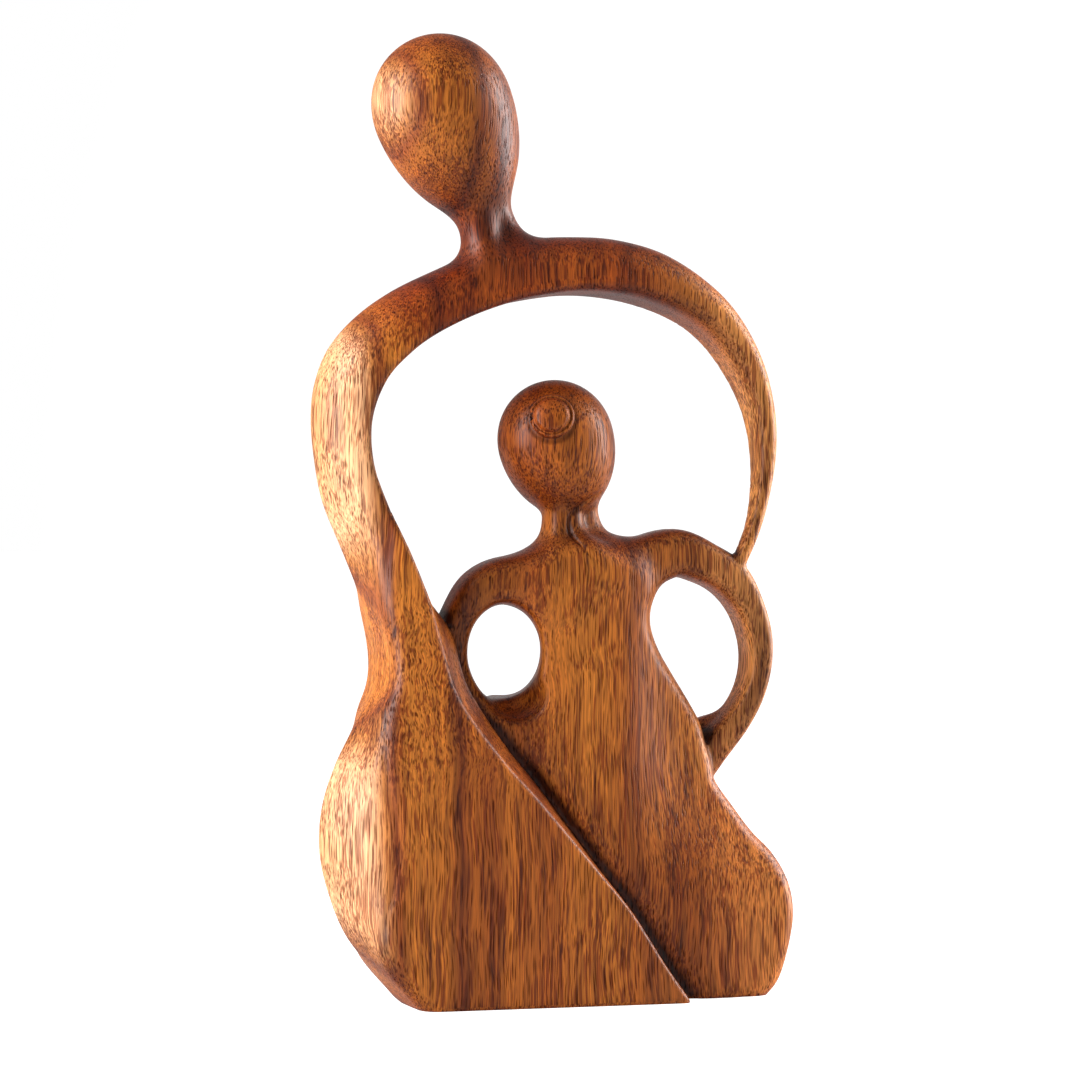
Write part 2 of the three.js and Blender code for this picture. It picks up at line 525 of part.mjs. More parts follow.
// Takes out the corners that change the form least, until so many triangles are left
function thinOut({ corners, triangles }, wanted) {
  const count = corners.length / 3;
  const point = (v) => corners.slice(v * 3, v * 3 + 3);
  const faces = [];
  const facesOf = Array.from({ length: count }, () => new Set());
  const sums = new Float64Array(count * 10);
  const version = new Int32Array(count);
  const normalOf = (p, q, r) => {
    const [ax, ay, az] = [q[0] - p[0], q[1] - p[1], q[2] - p[2]];
    const [bx, by, bz] = [r[0] - p[0], r[1] - p[1], r[2] - p[2]];
    return [ay * bz - az * by, az * bx - ax * bz, ax * by - ay * bx];
  };
  for (let at = 0; at < triangles.length; at += 3) {
    const face = triangles.slice(at, at + 3);
    const [p, q, r] = face.map(point);
    const normal = normalOf(p, q, r);
    const doubleArea = Math.hypot(...normal);
    const unit = normal.map((n) => n / (doubleArea || 1));
    const d = -(unit[0] * p[0] + unit[1] * p[1] + unit[2] * p[2]);
    for (const v of face) {
      facesOf[v].add(faces.length);
      addPlane(sums, v, unit, d, doubleArea / 2);
    }
    faces.push(face);
  }
  const neighbours = (v) => {
    const found = new Set();
    for (const f of facesOf[v]) {
      faces[f].forEach((w) => found.add(w));
    }
    found.delete(v);
    return found;
  };
  const heap = new Heap();
  const offer = (v, w) => {
    const sum = Array.from({ length: 10 }, (_, i) => sums[v * 10 + i] + sums[w * 10 + i]);
    const [p, q] = [point(v), point(w)];
    const middle = p.map((n, i) => (n + q[i]) / 2);
    const length = Math.hypot(p[0] - q[0], p[1] - q[1], p[2] - q[2]);
    const best = bestPoint(sum);
    const near = best && Math.hypot(...best.map((n, i) => n - middle[i])) < 2 * length;
    const place = near ? best : middle;
    const cost = Math.max(planeError(sum, place), 0) + 1e-5 * length ** 4;
    heap.push([cost, v, w, version[v], version[w], place, sum]);
  };
  const turnsOver = (v, other, place) => {
    for (const f of facesOf[v]) {
      if (!faces[f].includes(other)) {
        const before = faces[f].map(point);
        const after = faces[f].map((w) => (w === v ? place : point(w)));
        const [n, m] = [normalOf(...before), normalOf(...after)];
        const dot = n[0] * m[0] + n[1] * m[1] + n[2] * m[2];
        const size = Math.hypot(...m);
        const longest = Math.max(...after.map((p, i) => {
          const q = after[(i + 1) % 3];
          return Math.hypot(p[0] - q[0], p[1] - q[1], p[2] - q[2]);
        }));
        if (dot < 0.25 * Math.hypot(...n) * size || size < 0.06 * longest * longest) {
          return true;
        }
      }
    }
    return false;
  };
  const mayMerge = (v, w, place) => {
    const shared = [...neighbours(v)].filter((n) => neighbours(w).has(n));
    return shared.length === 2 && !turnsOver(v, w, place) && !turnsOver(w, v, place);
  };
  const merge = (v, w, place, sum) => {
    let gone = 0;
    place.forEach((n, i) => {
      corners[v * 3 + i] = n;
    });
    sum.forEach((n, i) => {
      sums[v * 10 + i] = n;
    });
    for (const f of facesOf[w]) {
      if (faces[f].includes(v)) {
        faces[f].filter((n) => n !== w).forEach((n) => facesOf[n].delete(f));
        faces[f] = null;
        gone += 1;
      } else {
        faces[f] = faces[f].map((n) => (n === w ? v : n));
        facesOf[v].add(f);
      }
    }
    facesOf[w].clear();
    version[w] = -1;
    version[v] += 1;
    return gone;
  };
  for (let v = 0; v < count; v += 1) {
    for (const w of neighbours(v)) {
      if (v < w) {
        offer(v, w);
      }
    }
  }
  let left = faces.length;
  while (left > wanted && heap.items.length > 0) {
    const [, v, w, versionV, versionW, place, sum] = heap.pop();
    if (versionV === version[v] && versionW === version[w] && mayMerge(v, w, place)) {
      left -= merge(v, w, place, sum);
      for (const n of neighbours(v)) {
        offer(v, n);
      }
    }
  }
  return { corners, triangles: faces.filter(Boolean).flat() };
}

function makeGeometry({ corners, triangles }) {
  const geometry = new THREE.BufferGeometry();
  geometry.setAttribute("position", new THREE.Float32BufferAttribute(corners, 3));
  geometry.setIndex(triangles);
  return geometry;
}

function makeSolid(wasm, geometry) {
  geometry.deleteAttribute("normal");
  geometry.deleteAttribute("uv");
  const merged = mergeVertices(geometry);
  return new wasm.Manifold(new wasm.Mesh({
    numProp: 3,
    vertProperties: new Float32Array(merged.attributes.position.array),
    triVerts: new Uint32Array(merged.index.array),
  }));
}

// The carving stands on a flat sawn underside
function sawUnderside(wasm, carving) {
  const ground = new THREE.BoxGeometry(GROUND.width, GROUND.depth, GROUND.height);
  ground.translate(0, 0, -GROUND.height / 2);
  const sawn = makeSolid(wasm, carving).subtract(makeSolid(wasm, ground)).getMesh();
  const geometry = new THREE.BufferGeometry();
  geometry.setAttribute("position", new THREE.BufferAttribute(sawn.vertProperties, 3));
  geometry.setIndex(new THREE.BufferAttribute(sawn.triVerts, 1));
  return geometry;
}

// The origin is on the ground, under the middle of the carving's box
function placeOnOrigin(geometry) {
  geometry.computeBoundingBox();
  const { min, max } = geometry.boundingBox;
  geometry.translate(-(min.x + max.x) / 2, -(min.y + max.y) / 2, -min.z);
  geometry.computeVertexNormals();
  return geometry;
}

const wasm = await Module();
wasm.setup();

const grid = sampleGrid([-75, -28.5, -4.5], [85.5, 27, 301.5], PITCH);
fillPinches(grid);
const rough = makeGeometry(thinOut(drawSurface(grid), TRIANGLES));
const wood = new THREE.MeshStandardMaterial({
  color: WOOD_COLOUR, roughness: WOOD_ROUGHNESS, metalness: 0,
});
const carving = new THREE.Mesh(placeOnOrigin(sawUnderside(wasm, rough)), wood);
carving.name = "father_and_child_carving";

const sculpture = new THREE.Group();
sculpture.add(carving);

export default sculpture;
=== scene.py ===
# %% [markdown]
# # Father and child, carved from one block of wood
#
# The object is a 30 cm statuette, sawn and carved from a single plank of a tropical hardwood. The
# father's robe and long arm make a frame, and the child stands inside it with hands on hips. Both
# heads are plain smooth eggs. The wood is sanded fine and waxed.
#
# A carver starts from outlines sawn through the plank and then rounds each form over. The script
# works in the same order. Outlines drawn in front view are given a thickness and rounded edges,
# the forms are joined, and one closed skin is drawn over the whole. The wood itself is a solid
# pattern in the block, so the grain runs through every form as it does in real timber.

# %% The frame that the carving has to fit
import math

import bmesh
import bpy
import numpy as np
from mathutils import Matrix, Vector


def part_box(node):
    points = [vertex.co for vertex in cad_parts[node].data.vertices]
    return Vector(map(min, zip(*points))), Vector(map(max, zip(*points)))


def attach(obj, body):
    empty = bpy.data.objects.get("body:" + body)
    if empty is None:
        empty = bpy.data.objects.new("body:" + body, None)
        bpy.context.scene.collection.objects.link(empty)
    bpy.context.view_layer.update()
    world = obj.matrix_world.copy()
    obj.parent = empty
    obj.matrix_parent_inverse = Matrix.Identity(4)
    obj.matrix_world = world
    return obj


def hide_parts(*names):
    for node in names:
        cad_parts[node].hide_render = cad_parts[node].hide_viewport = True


NODE = "father_and_child_carving"

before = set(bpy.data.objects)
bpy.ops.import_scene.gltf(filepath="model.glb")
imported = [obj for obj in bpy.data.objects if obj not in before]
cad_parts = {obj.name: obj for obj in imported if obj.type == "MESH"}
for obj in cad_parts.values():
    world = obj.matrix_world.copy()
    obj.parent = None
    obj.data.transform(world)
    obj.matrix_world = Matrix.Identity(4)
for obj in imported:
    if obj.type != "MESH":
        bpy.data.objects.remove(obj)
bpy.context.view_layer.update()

# %% [markdown]
# ## Camera
#
# The photograph is taken from a little to the left of the front, level with the middle of the
# carving, through a long lens that keeps the upright lines upright. A camera of 118 mm on a
# 36 mm sensor, 1.1 m away, gives the same view.

# %% Camera
MM = 0.001
BLOCK_TO_GROUND = (-3.55, 1.2, 0.0)  # from the carver's centre line to the middle of the box
AIM = (0.0, 0.0, 142.2)
DISTANCE = 1100.0
AZIMUTH = -15.0
LENS = 118.0
SENSOR = 36.0

azimuth = math.radians(AZIMUTH)
aim = [(a + b) * MM for a, b in zip(AIM, BLOCK_TO_GROUND)]
camera = bpy.data.objects.new("camera", bpy.data.cameras.new("camera"))
camera.data.lens = LENS
camera.data.sensor_width = SENSOR
camera.location = (
    aim[0] + DISTANCE * MM * math.sin(azimuth),
    aim[1] - DISTANCE * MM * math.cos(azimuth),
    aim[2],
)
camera.rotation_euler = (math.pi / 2, 0.0, azimuth)
bpy.context.scene.collection.objects.link(camera)
bpy.context.scene.camera = camera
print("camera at", [round(v, 3) for v in camera.location])

# %% [markdown]
# ## Distances as a modelling material
#
# Each form is written as a distance: how far a point is from the wood, with a minus sign inside.
# Two such forms are joined by taking the smaller distance. If the smaller is taken softly, the
# crease between the forms becomes a fillet, as a gouge leaves it. Cutting is the same thing with
# the signs turned round. All sizes are in millimetres.

# %% Joins, cuts and ramps
def join(a, b, width):
    """One form from two, with a fillet where they meet."""
    near = np.maximum(width - np.abs(a - b), 0) / width
    return np.minimum(a, b) - near**2 * width / 4


def cut(a, b, width):
    """What two forms have in common, with the edge between them rounded."""
    return -join(-a, -b, width)


def ramp(value, low, high):
    """A smooth change from 0 at low to 1 at high."""
    t = np.clip((value - low) / (high - low), 0, 1)
    return t * t * (3 - 2 * t)


def mix(a, b, share):
    return a + (b - a) * share


print("a 4 mm fillet adds", -join(0.0, 0.0, 4.0), "mm of wood in a crease")

# %% [markdown]
# ## Lines and outlines
#
# A carver draws the front view on the plank before the saw touches it. A few points are enough,
# because a smooth line is led through them. A closed line gives the distance to an outline, and
# an open line gives the distance to a limb's middle, with the limb's thickness at that place.

# %% Smooth lines, and the distance to them
def smooth_line(points, steps=8):
    """A smooth line through points of any number of columns."""
    p = np.array(points, float)
    p = np.vstack([2 * p[0] - p[1], p, 2 * p[-1] - p[-2]])
    t = (np.arange(steps) / steps)[:, None]
    parts = []
    for a, b, c, d in zip(p, p[1:], p[2:], p[3:]):
        bend = (2 * a - 5 * b + 4 * c - d) * t**2 + (3 * b - a - 3 * c + d) * t**3
        parts.append(0.5 * (2 * b + (c - a) * t + bend))
    return np.vstack(parts + [p[-2]])


def along_segment(a, b, x, z):
    """How far along a segment the nearest point lies, and the distance to it."""
    dx, dz = b[0] - a[0], b[1] - a[1]
    t = np.clip(((x - a[0]) * dx + (z - a[1]) * dz) / (dx * dx + dz * dz + 1e-12), 0, 1)
    return t, np.hypot(x - a[0] - t * dx, z - a[1] - t * dz)


def outline_distance(outline, x, z):
    """Distance in front view to a closed outline, negative inside."""
    nearest = np.full(x.shape, np.inf)
    inside = np.zeros(x.shape, bool)
    for a, b in zip(outline, np.roll(outline, -1, axis=0)):
        nearest = np.minimum(nearest, along_segment(a, b, x, z)[1])
        if a[1] != b[1]:
            between = (a[1] > z) != (b[1] > z)
            inside ^= between & (x < a[0] + (b[0] - a[0]) * (z - a[1]) / (b[1] - a[1]))
    return np.where(inside, -nearest, nearest)


def nearest_station(line, x, z):
    """Distance in front view to an open line, and its other columns at the nearest point."""
    nearest = np.full(x.shape, np.inf)
    columns = [np.zeros(x.shape) for _ in line[0][2:]]
    for a, b in zip(line, line[1:]):
        t, distance = along_segment(a, b, x, z)
        closer = distance < nearest
        nearest = np.where(closer, distance, nearest)
        columns = [
            np.where(closer, a[i + 2] + t * (b[i + 2] - a[i + 2]), column)
            for i, column in enumerate(columns)
        ]
    return nearest, columns


print("a line through 3 points has", len(smooth_line([(0, 0), (10, 0), (10, 10)])), "points")

# %% [markdown]
# ## Bars, balls and eggs
#
# The arms and necks are bars of changing thickness. An arm is squarish in section, because the
# carver only breaks the edges of the sawn plank, and a neck is round. The heads are eggs with the
# wide end up. The scooped place is part of a ball, the left arm's opening an oval hole, and the
# pocket at the hip a small egg.

# %% Distance to a bar, a ball and an egg
def bar_distance(stations, x, y, z, squareness):
    """A bar along stations of x, z, half width, middle y and half depth."""
    away, (half, middle, depth) = nearest_station(smooth_line(stations), x, z)
    across = np.abs(y - middle) * half / depth
    reach = (away**squareness + across**squareness) ** (1 / squareness)
    return (reach - half) * np.minimum(1, depth / half)


def ball_distance(offsets, radii):
    """A ball with its own radius in each direction, or an oval hole in two directions."""
    ratio = np.sqrt(sum((offset / radius) ** 2 for offset, radius in zip(offsets, radii)))
    rise = np.sqrt(sum((offset / radius**2) ** 2 for offset, radius in zip(offsets, radii)))
    return ratio * (ratio - 1) / np.maximum(rise, 1e-6)


def egg_distance(egg, x, y, z):
    tilt = math.radians(egg["tilt"])
    dx, dy, dz = (v - m for v, m in zip((x, y, z), egg["middle"]))
    up = dz * math.cos(tilt) - dx * math.sin(tilt)
    side = dx * math.cos(tilt) + dz * math.sin(tilt)
    reach = np.where(up > 0, egg["up"], egg["down"])
    wide = np.maximum(1 + egg["taper"] * up / reach, 0.3)
    return ball_distance((up, side, dy), (reach, egg["half"] * wide, egg["depth"] * wide))


ball_gap = ball_distance((13.0, 0.0, 0.0), (10, 10, 10))
print("a point 13 mm from the middle of a 10 mm ball is", round(float(ball_gap), 2), "mm from it")

# %% [markdown]
# ## The father's robe and arm
#
# One outline runs up the outside, from the foot over the shoulder and down the raised arm to its
# tip, and one runs along the inside. The block is thick at the robe and thins out along the arm.
# Its front is flat and its side is rounded over, with a soft ridge between the two. Towards the
# child the front ends in a crisp edge, and a short sloping wall leads down from it. It could be
# sculpted from a block, but two outlines and a list of thicknesses keep every edge at the place
# where the photograph shows it.

# %% Father: outlines and thickness
FATHER_OUTSIDE = [
    (-41.8, -2.8), (-52.3, 9.2), (-61.8, 21.1), (-67.3, 34.1), (-70.1, 46.9), (-69.4, 60.3),
    (-65.2, 73.5), (-58.5, 86.2), (-53, 96.7), (-52.4, 108.1), (-56, 121.6), (-62.5, 137.7),
    (-69, 153.7), (-71.7, 168), (-72.5, 180), (-71.3, 190.2), (-67, 200.9), (-58.5, 210.6),
    (-47, 218.8), (-32.5, 225.9), (-18.5, 232), (-4, 235.5), (10, 236.5), (24.1, 235.9),
    (39.2, 232), (53.1, 223.8), (63.6, 213.5), (71.5, 199.2), (75.3, 184.1), (75.6, 170.5),
    (73.2, 157), (69.4, 145), (64, 133),
]
FATHER_INSIDE = [
    (46, -8), (41.5, 0), (33.3, 11.7), (22.7, 28), (12.2, 40.7), (-6.7, 62.7), (-16.4, 73.2),
    (-25.8, 85), (-32.6, 96), (-37, 111), (-40.3, 124.5), (-45.3, 137.5), (-51.3, 151),
    (-56, 164.8), (-56.4, 178.3), (-52, 190.3), (-45, 198.3), (-36.8, 204.5), (-25, 210.5),
    (-13.3, 214.8), (-2.3, 217.4), (9.6, 219), (21.3, 218.7), (33, 216.6), (45.3, 212),
    (54.6, 205.2), (62.2, 194.6), (67, 183), (68.7, 170.7), (68, 158.5), (65.3, 147),
    (60.5, 136.5),
]
OUTSIDE_CLOSING = [(58, 120), (95, 80), (95, -60), (-42, -60)]
INSIDE_CLOSING = [(66, 128), (200, 110), (200, -8)]

# x, z, middle y, half depth, rounding of the front's inner edge
FATHER_DEPTHS = [
    (0, -5, -1.2, 24.3, 1.6), (-5, 30, -1.2, 24.3, 1.6), (-25, 60, -1.2, 24.3, 1.6),
    (-42, 90, -1.2, 23, 1.6), (-47, 115, -1.2, 21.5, 1.8), (-54, 145, -1, 20, 2),
    (-62, 172, -0.5, 18.5, 2.5), (-58.5, 195, 0, 17.5, 3), (-41, 210.5, 0, 16.5, 3),
    (-16, 223.6, 0, 15.2, 3), (10, 227.5, 0, 14, 4), (36, 223.7, 0, 13, 7),
    (58, 208.3, -0.5, 11.5, 9), (69.6, 183.2, -2.5, 9, 8), (69.3, 158, -5.5, 6.5, 6),
    (65.5, 145, -7.5, 5, 4), (62.6, 136.2, -8.5, 4, 3),
]

# Along the outside, x, z, how far in the side reaches, its fullness and its squareness:
# 1 is a flat facet, 2 a half round
FATHER_SIDE = [
    (-46, 0, 1.5, 1, 1.25), (-53.5, 10, 1.5, 1, 1.25), (-57.5, 16, 4, 1, 1.25),
    (-61.2, 22, 8.6, 1, 1.25), (-65.3, 31, 14.6, 1, 1.25), (-68.3, 43, 18.9, 1, 1.25),
    (-68.2, 55, 19.6, 1, 1.25), (-66, 67, 15.6, 1, 1.25), (-62.8, 76, 10.8, 1, 1.25),
    (-58.4, 85, 5.6, 1, 1.25), (-55.7, 92, 2, 1, 1.25), (-54, 100, 1.5, 1, 1.25),
    (-54.2, 112, 1.5, 1, 1.25), (-56.5, 121.5, 2.9, 1, 1.25), (-59.3, 130.5, 6.6, 1, 1.25),
    (-61.9, 138.5, 11, 1, 1.3), (-64.8, 146, 15, 1, 1.4), (-68, 154, 17, 1, 1.5),
    (-71.7, 168, 17.5, 1, 1.6), (-72.5, 180, 17.5, 1, 1.6), (-70.7, 190, 17.5, 1, 1.6),
    (-66.7, 200.7, 17, 1.02, 1.65), (-58.7, 210.8, 16.5, 1.05, 1.7),
    (-47, 218.8, 15.5, 1.08, 1.8), (-32.5, 225.8, 15, 1.08, 2), (-4, 235.5, 14, 1.08, 2),
    (24, 235.5, 12.5, 1.08, 2), (52.7, 223.3, 11, 1.08, 2), (71, 199, 8.5, 1.08, 2),
    (75.3, 170.5, 7, 1.08, 2), (69.3, 145, 4.5, 1.08, 2), (64, 133, 4, 1.08, 2),
]
FACE_RIDGE = 6
BACK_EDGE = 1.6
ROBE_WALL_DEPTH = 11
ROBE_WALL_OVER = -5  # how far the wall is led on in front of the block
ROBE_WALL_SLOPE = {"low": 0.15, "high": 0.6, "from": 20, "to": 110}
ROBE_WALL_END = {"from": 112, "to": 130}

father_outside = np.vstack([smooth_line(FATHER_OUTSIDE), OUTSIDE_CLOSING])
father_inside = np.vstack([smooth_line(FATHER_INSIDE), INSIDE_CLOSING])
father_depths = smooth_line(FATHER_DEPTHS)
father_side = smooth_line(FATHER_SIDE, 4)


def robe_distance(x, y, z, inside):
    outside = outline_distance(father_outside, x, z)
    middle, half, front_edge = nearest_station(father_depths, x, z)[1]
    reach, fullness, squareness = nearest_station(father_side, x, z)[1]
    off = np.abs(y - middle)
    across = off * reach / (half * fullness)
    over = outside + reach
    bend = (np.maximum(over, 0) ** squareness + across**squareness) ** (1 / squareness)
    side = bend + np.minimum(over, 0) - reach
    block = cut(side, off - half, FACE_RIDGE)
    steep = ramp(z, ROBE_WALL_SLOPE["from"], ROBE_WALL_SLOPE["to"])
    lean = mix(ROBE_WALL_SLOPE["low"], ROBE_WALL_SLOPE["high"], steep)
    lean = lean * (1 - ramp(z, ROBE_WALL_END["from"], ROBE_WALL_END["to"]))
    below = np.clip(half - off, ROBE_WALL_OVER, ROBE_WALL_DEPTH)
    wall = (-inside - lean * below) / np.sqrt(1 + lean**2)
    return cut(block, wall, np.where(y < middle, front_edge, BACK_EDGE))


print("robe outline of", len(father_outside), "points")

# %% [markdown]
# ## The father's head and neck
#
# The head is an egg tilted to the left. The neck is two strands with a shallow valley between
# them, which spread into the shoulder. A scaled sphere would make the head too, but a distance
# can be joined to the strands with a fillet, as the carver left it.

# %% Father: head and neck
FATHER_HEAD = {
    "middle": (-30.3, -1, 272.6), "up": 25.9, "down": 32.7, "half": 21.7, "depth": 20.5,
    "taper": 0.089, "tilt": 22.7,
}
FATHER_THROAT = [(-24.5, 252.5, 6.5, -2, 8), (-20.8, 242, 6.5, -2.5, 7.5), (-18.5, 229, 5, -1, 9)]
FATHER_NAPE = [(-16.4, 254, 3.8, 3, 8), (-13.2, 243, 4.4, 2, 8), (-9, 229, 6.5, 1, 9)]
NECK_SQUARENESS = 2
FATHER_FILLETS = {"strands": 3.5, "head": 5, "shoulder": 7}


def father_distance(x, y, z, inside):
    throat = bar_distance(FATHER_THROAT, x, y, z, NECK_SQUARENESS)
    nape = bar_distance(FATHER_NAPE, x, y, z, NECK_SQUARENESS)
    neck = join(throat, nape, FATHER_FILLETS["strands"])
    top = join(egg_distance(FATHER_HEAD, x, y, z), neck, FATHER_FILLETS["head"])
    return join(robe_distance(x, y, z, inside), top, FATHER_FILLETS["shoulder"])


print("father's head", round(FATHER_HEAD["up"] + FATHER_HEAD["down"], 1), "mm tall")

# %% [markdown]
# ## The child's head
#
# A round head with a small flat bun, which sits in a ring-shaped groove cut with a narrow gouge.
# A finer line is cut into the bun near its rim. A Boolean modifier could cut both, but it would
# leave hard rims. Taken off the distance, the groove gets the soft lip of a real tool mark.

# %% Child: head and bun
CHILD_HEAD = {
    "middle": (4.2, -4, 172.2), "up": 19.7, "down": 23, "half": 18.1, "depth": 17,
    "taper": 0.033, "tilt": 16.7,
}
BUN = {"middle": (-1.4, -19.4, 179.9), "out": (-0.27, -0.92, 0.3), "radius": 6.9, "flatness": 1.9}
BUN_GROOVE = {"radius": 7.5, "half": 0.9, "lift": -0.6, "rounding": 0.8, "fillet": 0.4}
BUN_RING = {"radius": 5.6, "width": 0.55, "depth": 0.9}


def child_head_distance(x, y, z):
    out = np.array(BUN["out"]) / np.linalg.norm(BUN["out"])
    offsets = [v - m for v, m in zip((x, y, z), BUN["middle"])]
    along = sum(offset * part for offset, part in zip(offsets, out))
    square = sum(offset**2 for offset in offsets)
    across = np.sqrt(np.maximum(square - along**2, 0))
    bun = np.hypot(across, along * BUN["flatness"]) - BUN["radius"]
    off_line = (across - BUN_RING["radius"]) / BUN_RING["width"]
    bun = bun + BUN_RING["depth"] * np.exp(-(off_line**2))
    groove = np.hypot(across - BUN_GROOVE["radius"], along - BUN_GROOVE["lift"])
    skull = egg_distance(CHILD_HEAD, x, y, z)
    grooved = cut(skull, BUN_GROOVE["half"] - groove, BUN_GROOVE["rounding"])
    return join(grooved, bun, BUN_GROOVE["fillet"])


print("bun", 2 * BUN["radius"], "mm wide")

# %% [markdown]
# ## The child's robe
#
# The robe is a slab with an outline of its own. Its front has three faces that fall away to the
# sides, and it sinks into a valley along the father's robe. A Bevel modifier would round every
# edge of a slab alike. Here the front is written as a height over the outline, so that its faces
# can flatten out towards the foot.

# %% Child: robe
CHILD_BODY = [
    (-4.8, 135.8), (2, 140), (12, 141), (22, 137), (30, 133), (33.4, 126.2), (32.8, 116.6),
    (35.6, 108.7), (40.9, 100.4), (46.6, 91.8), (50.3, 85.2), (52, 79.5), (53.8, 73.4),
    (55.4, 66.8), (61.1, 58.8), (66.8, 51.1), (72.8, 44.8), (76.9, 38.1), (79, 31.9),
    (79.6, 25.8), (78.8, 19.2), (76.6, 10.5), (74.3, 4.6), (71.3, 0.6), (66.5, -4), (58, -6),
    (38, -6), (10, -6), (-20, 0), (-20, 50), (-24, 83), (-16, 92), (-9.5, 96), (-6, 100),
    (-5, 107), (-6.5, 116), (-10, 121.5), (-14, 128),
]
BODY_ROUNDING = 4.5
CHEST_FRONT = 17.5
CHEST_LEFT = {"x": 2, "slope": 0.45, "rounding": 6}
CHEST_RIGHT = {
    "x": 23.8, "slope_high": 0.45, "slope_low": 0.12, "z_high": 85, "z_low": 35, "rounding": 2,
}
EDGE_FRONT = 9
EDGE_ROUNDING = 4
FOOT_SWELL = {"depth": 3, "z_high": 60, "z_low": 15}
BODY_BACK = {"depth": 16, "x": 28, "slope": 0.3, "least": 11, "rounding": 6}
VALLEY = {"front": 4, "back": 2, "width": 7}

child_body = smooth_line(CHILD_BODY + CHILD_BODY[:1])


def child_front(x, z, valley):
    """How far the child's front stands out before the middle of the block."""
    low = 1 - ramp(z, CHEST_RIGHT["z_low"], CHEST_RIGHT["z_high"])
    slope = mix(CHEST_RIGHT["slope_high"], CHEST_RIGHT["slope_low"], low)
    right = CHEST_FRONT - slope * (x - CHEST_RIGHT["x"])
    left = CHEST_FRONT + CHEST_LEFT["slope"] * (x - CHEST_LEFT["x"])
    front = join(CHEST_FRONT, right, CHEST_RIGHT["rounding"])
    front = join(front, left, CHEST_LEFT["rounding"])
    swell = FOOT_SWELL["depth"] * (1 - ramp(z, FOOT_SWELL["z_low"], FOOT_SWELL["z_high"]))
    return cut(front, EDGE_FRONT, EDGE_ROUNDING) + swell - VALLEY["front"] * valley


def child_back(x, valley):
    right = BODY_BACK["depth"] - BODY_BACK["slope"] * (x - BODY_BACK["x"])
    back = join(BODY_BACK["depth"], right, BODY_BACK["rounding"])
    return cut(back, BODY_BACK["least"], EDGE_ROUNDING) - VALLEY["back"] * valley


def child_body_distance(x, y, z, inside):
    valley = np.exp(-((np.maximum(-inside, 0) / VALLEY["width"]) ** 2))
    half = np.where(y < 0, child_front(x, z, valley), child_back(x, valley))
    edge = outline_distance(child_body, x, z) + BODY_ROUNDING
    over = np.abs(y) - half + BODY_ROUNDING
    corner = np.hypot(np.maximum(edge, 0), np.maximum(over, 0))
    return corner + np.minimum(np.maximum(edge, over), 0) - BODY_ROUNDING


print("child's robe outline of", len(child_body), "points")

# %% [markdown]
# ## The child's neck
#
# Two strands stand round a core, with a thin raised sinew in front, and a crease is engraved
# between them. All four are the same kind of bar as the father's neck, and soft joins make one
# neck of them. The crease is a line in front view that is taken off the finished form.

# %% Child: neck
CHILD_THROAT = [
    (3.8, 158, 5.8, -4.5, 7), (4.2, 149, 4.6, -5, 7), (2.2, 140, 4.6, -4.5, 8),
    (-3, 131, 6.5, -3, 9),
]
CHILD_NAPE = [
    (12.4, 158, 6.2, -1.5, 7), (13.4, 149, 5, -1, 6.5), (17, 140.7, 5.8, -1, 8), (25, 134, 7, -3, 9),
]
CHILD_NECK_CORE = [
    (8.5, 158, 4, -3, 7.5), (8.6, 148, 3.6, -3, 7.5), (11, 139, 4.5, -3.5, 9), (14, 131, 6, -3, 10),
]
CHILD_SINEW = [
    (8, 152, 1.8, -7.3, 2.4), (9, 144.5, 1.6, -9.1, 2.4), (13.2, 137, 1.6, -11.2, 2.4),
    (18.7, 130.5, 2, -12.4, 2.6),
]
NECK_CREASE = [  # x, z, depth
    (18, 158.5, 0), (16.5, 157.4, 0.25), (12.7, 155.2, 0.5), (8.8, 152.4, 0.4), (6.3, 149, 0.3),
    (6.3, 145, 0.3), (7.9, 141.6, 0.3), (11.7, 136.9, 0.25), (15.5, 131.5, 0),
]
NECK_CREASE_WIDTH = 0.75
NECK_FILLETS = {"strands": 3, "core": 3, "sinew": 2.5}

neck_crease = smooth_line(NECK_CREASE)


def child_neck_distance(x, y, z):
    throat = bar_distance(CHILD_THROAT, x, y, z, NECK_SQUARENESS)
    nape = bar_distance(CHILD_NAPE, x, y, z, NECK_SQUARENESS)
    core = bar_distance(CHILD_NECK_CORE, x, y, z, NECK_SQUARENESS)
    sinew = bar_distance(CHILD_SINEW, x, y, z, NECK_SQUARENESS)
    strands = join(throat, nape, NECK_FILLETS["strands"])
    return join(join(strands, core, NECK_FILLETS["core"]), sinew, NECK_FILLETS["sinew"])


print("neck crease of", len(neck_crease), "points")

# %% [markdown]
# ## The child's arms and openings
#
# Both hands rest on the hips. The arms leave a round opening on the left, which follows the
# viewer's line of sight, and a drop-shaped one on the right. The right one is simply the air
# between the arm and the robe. The left one is bored through both, because its rim is one oval.

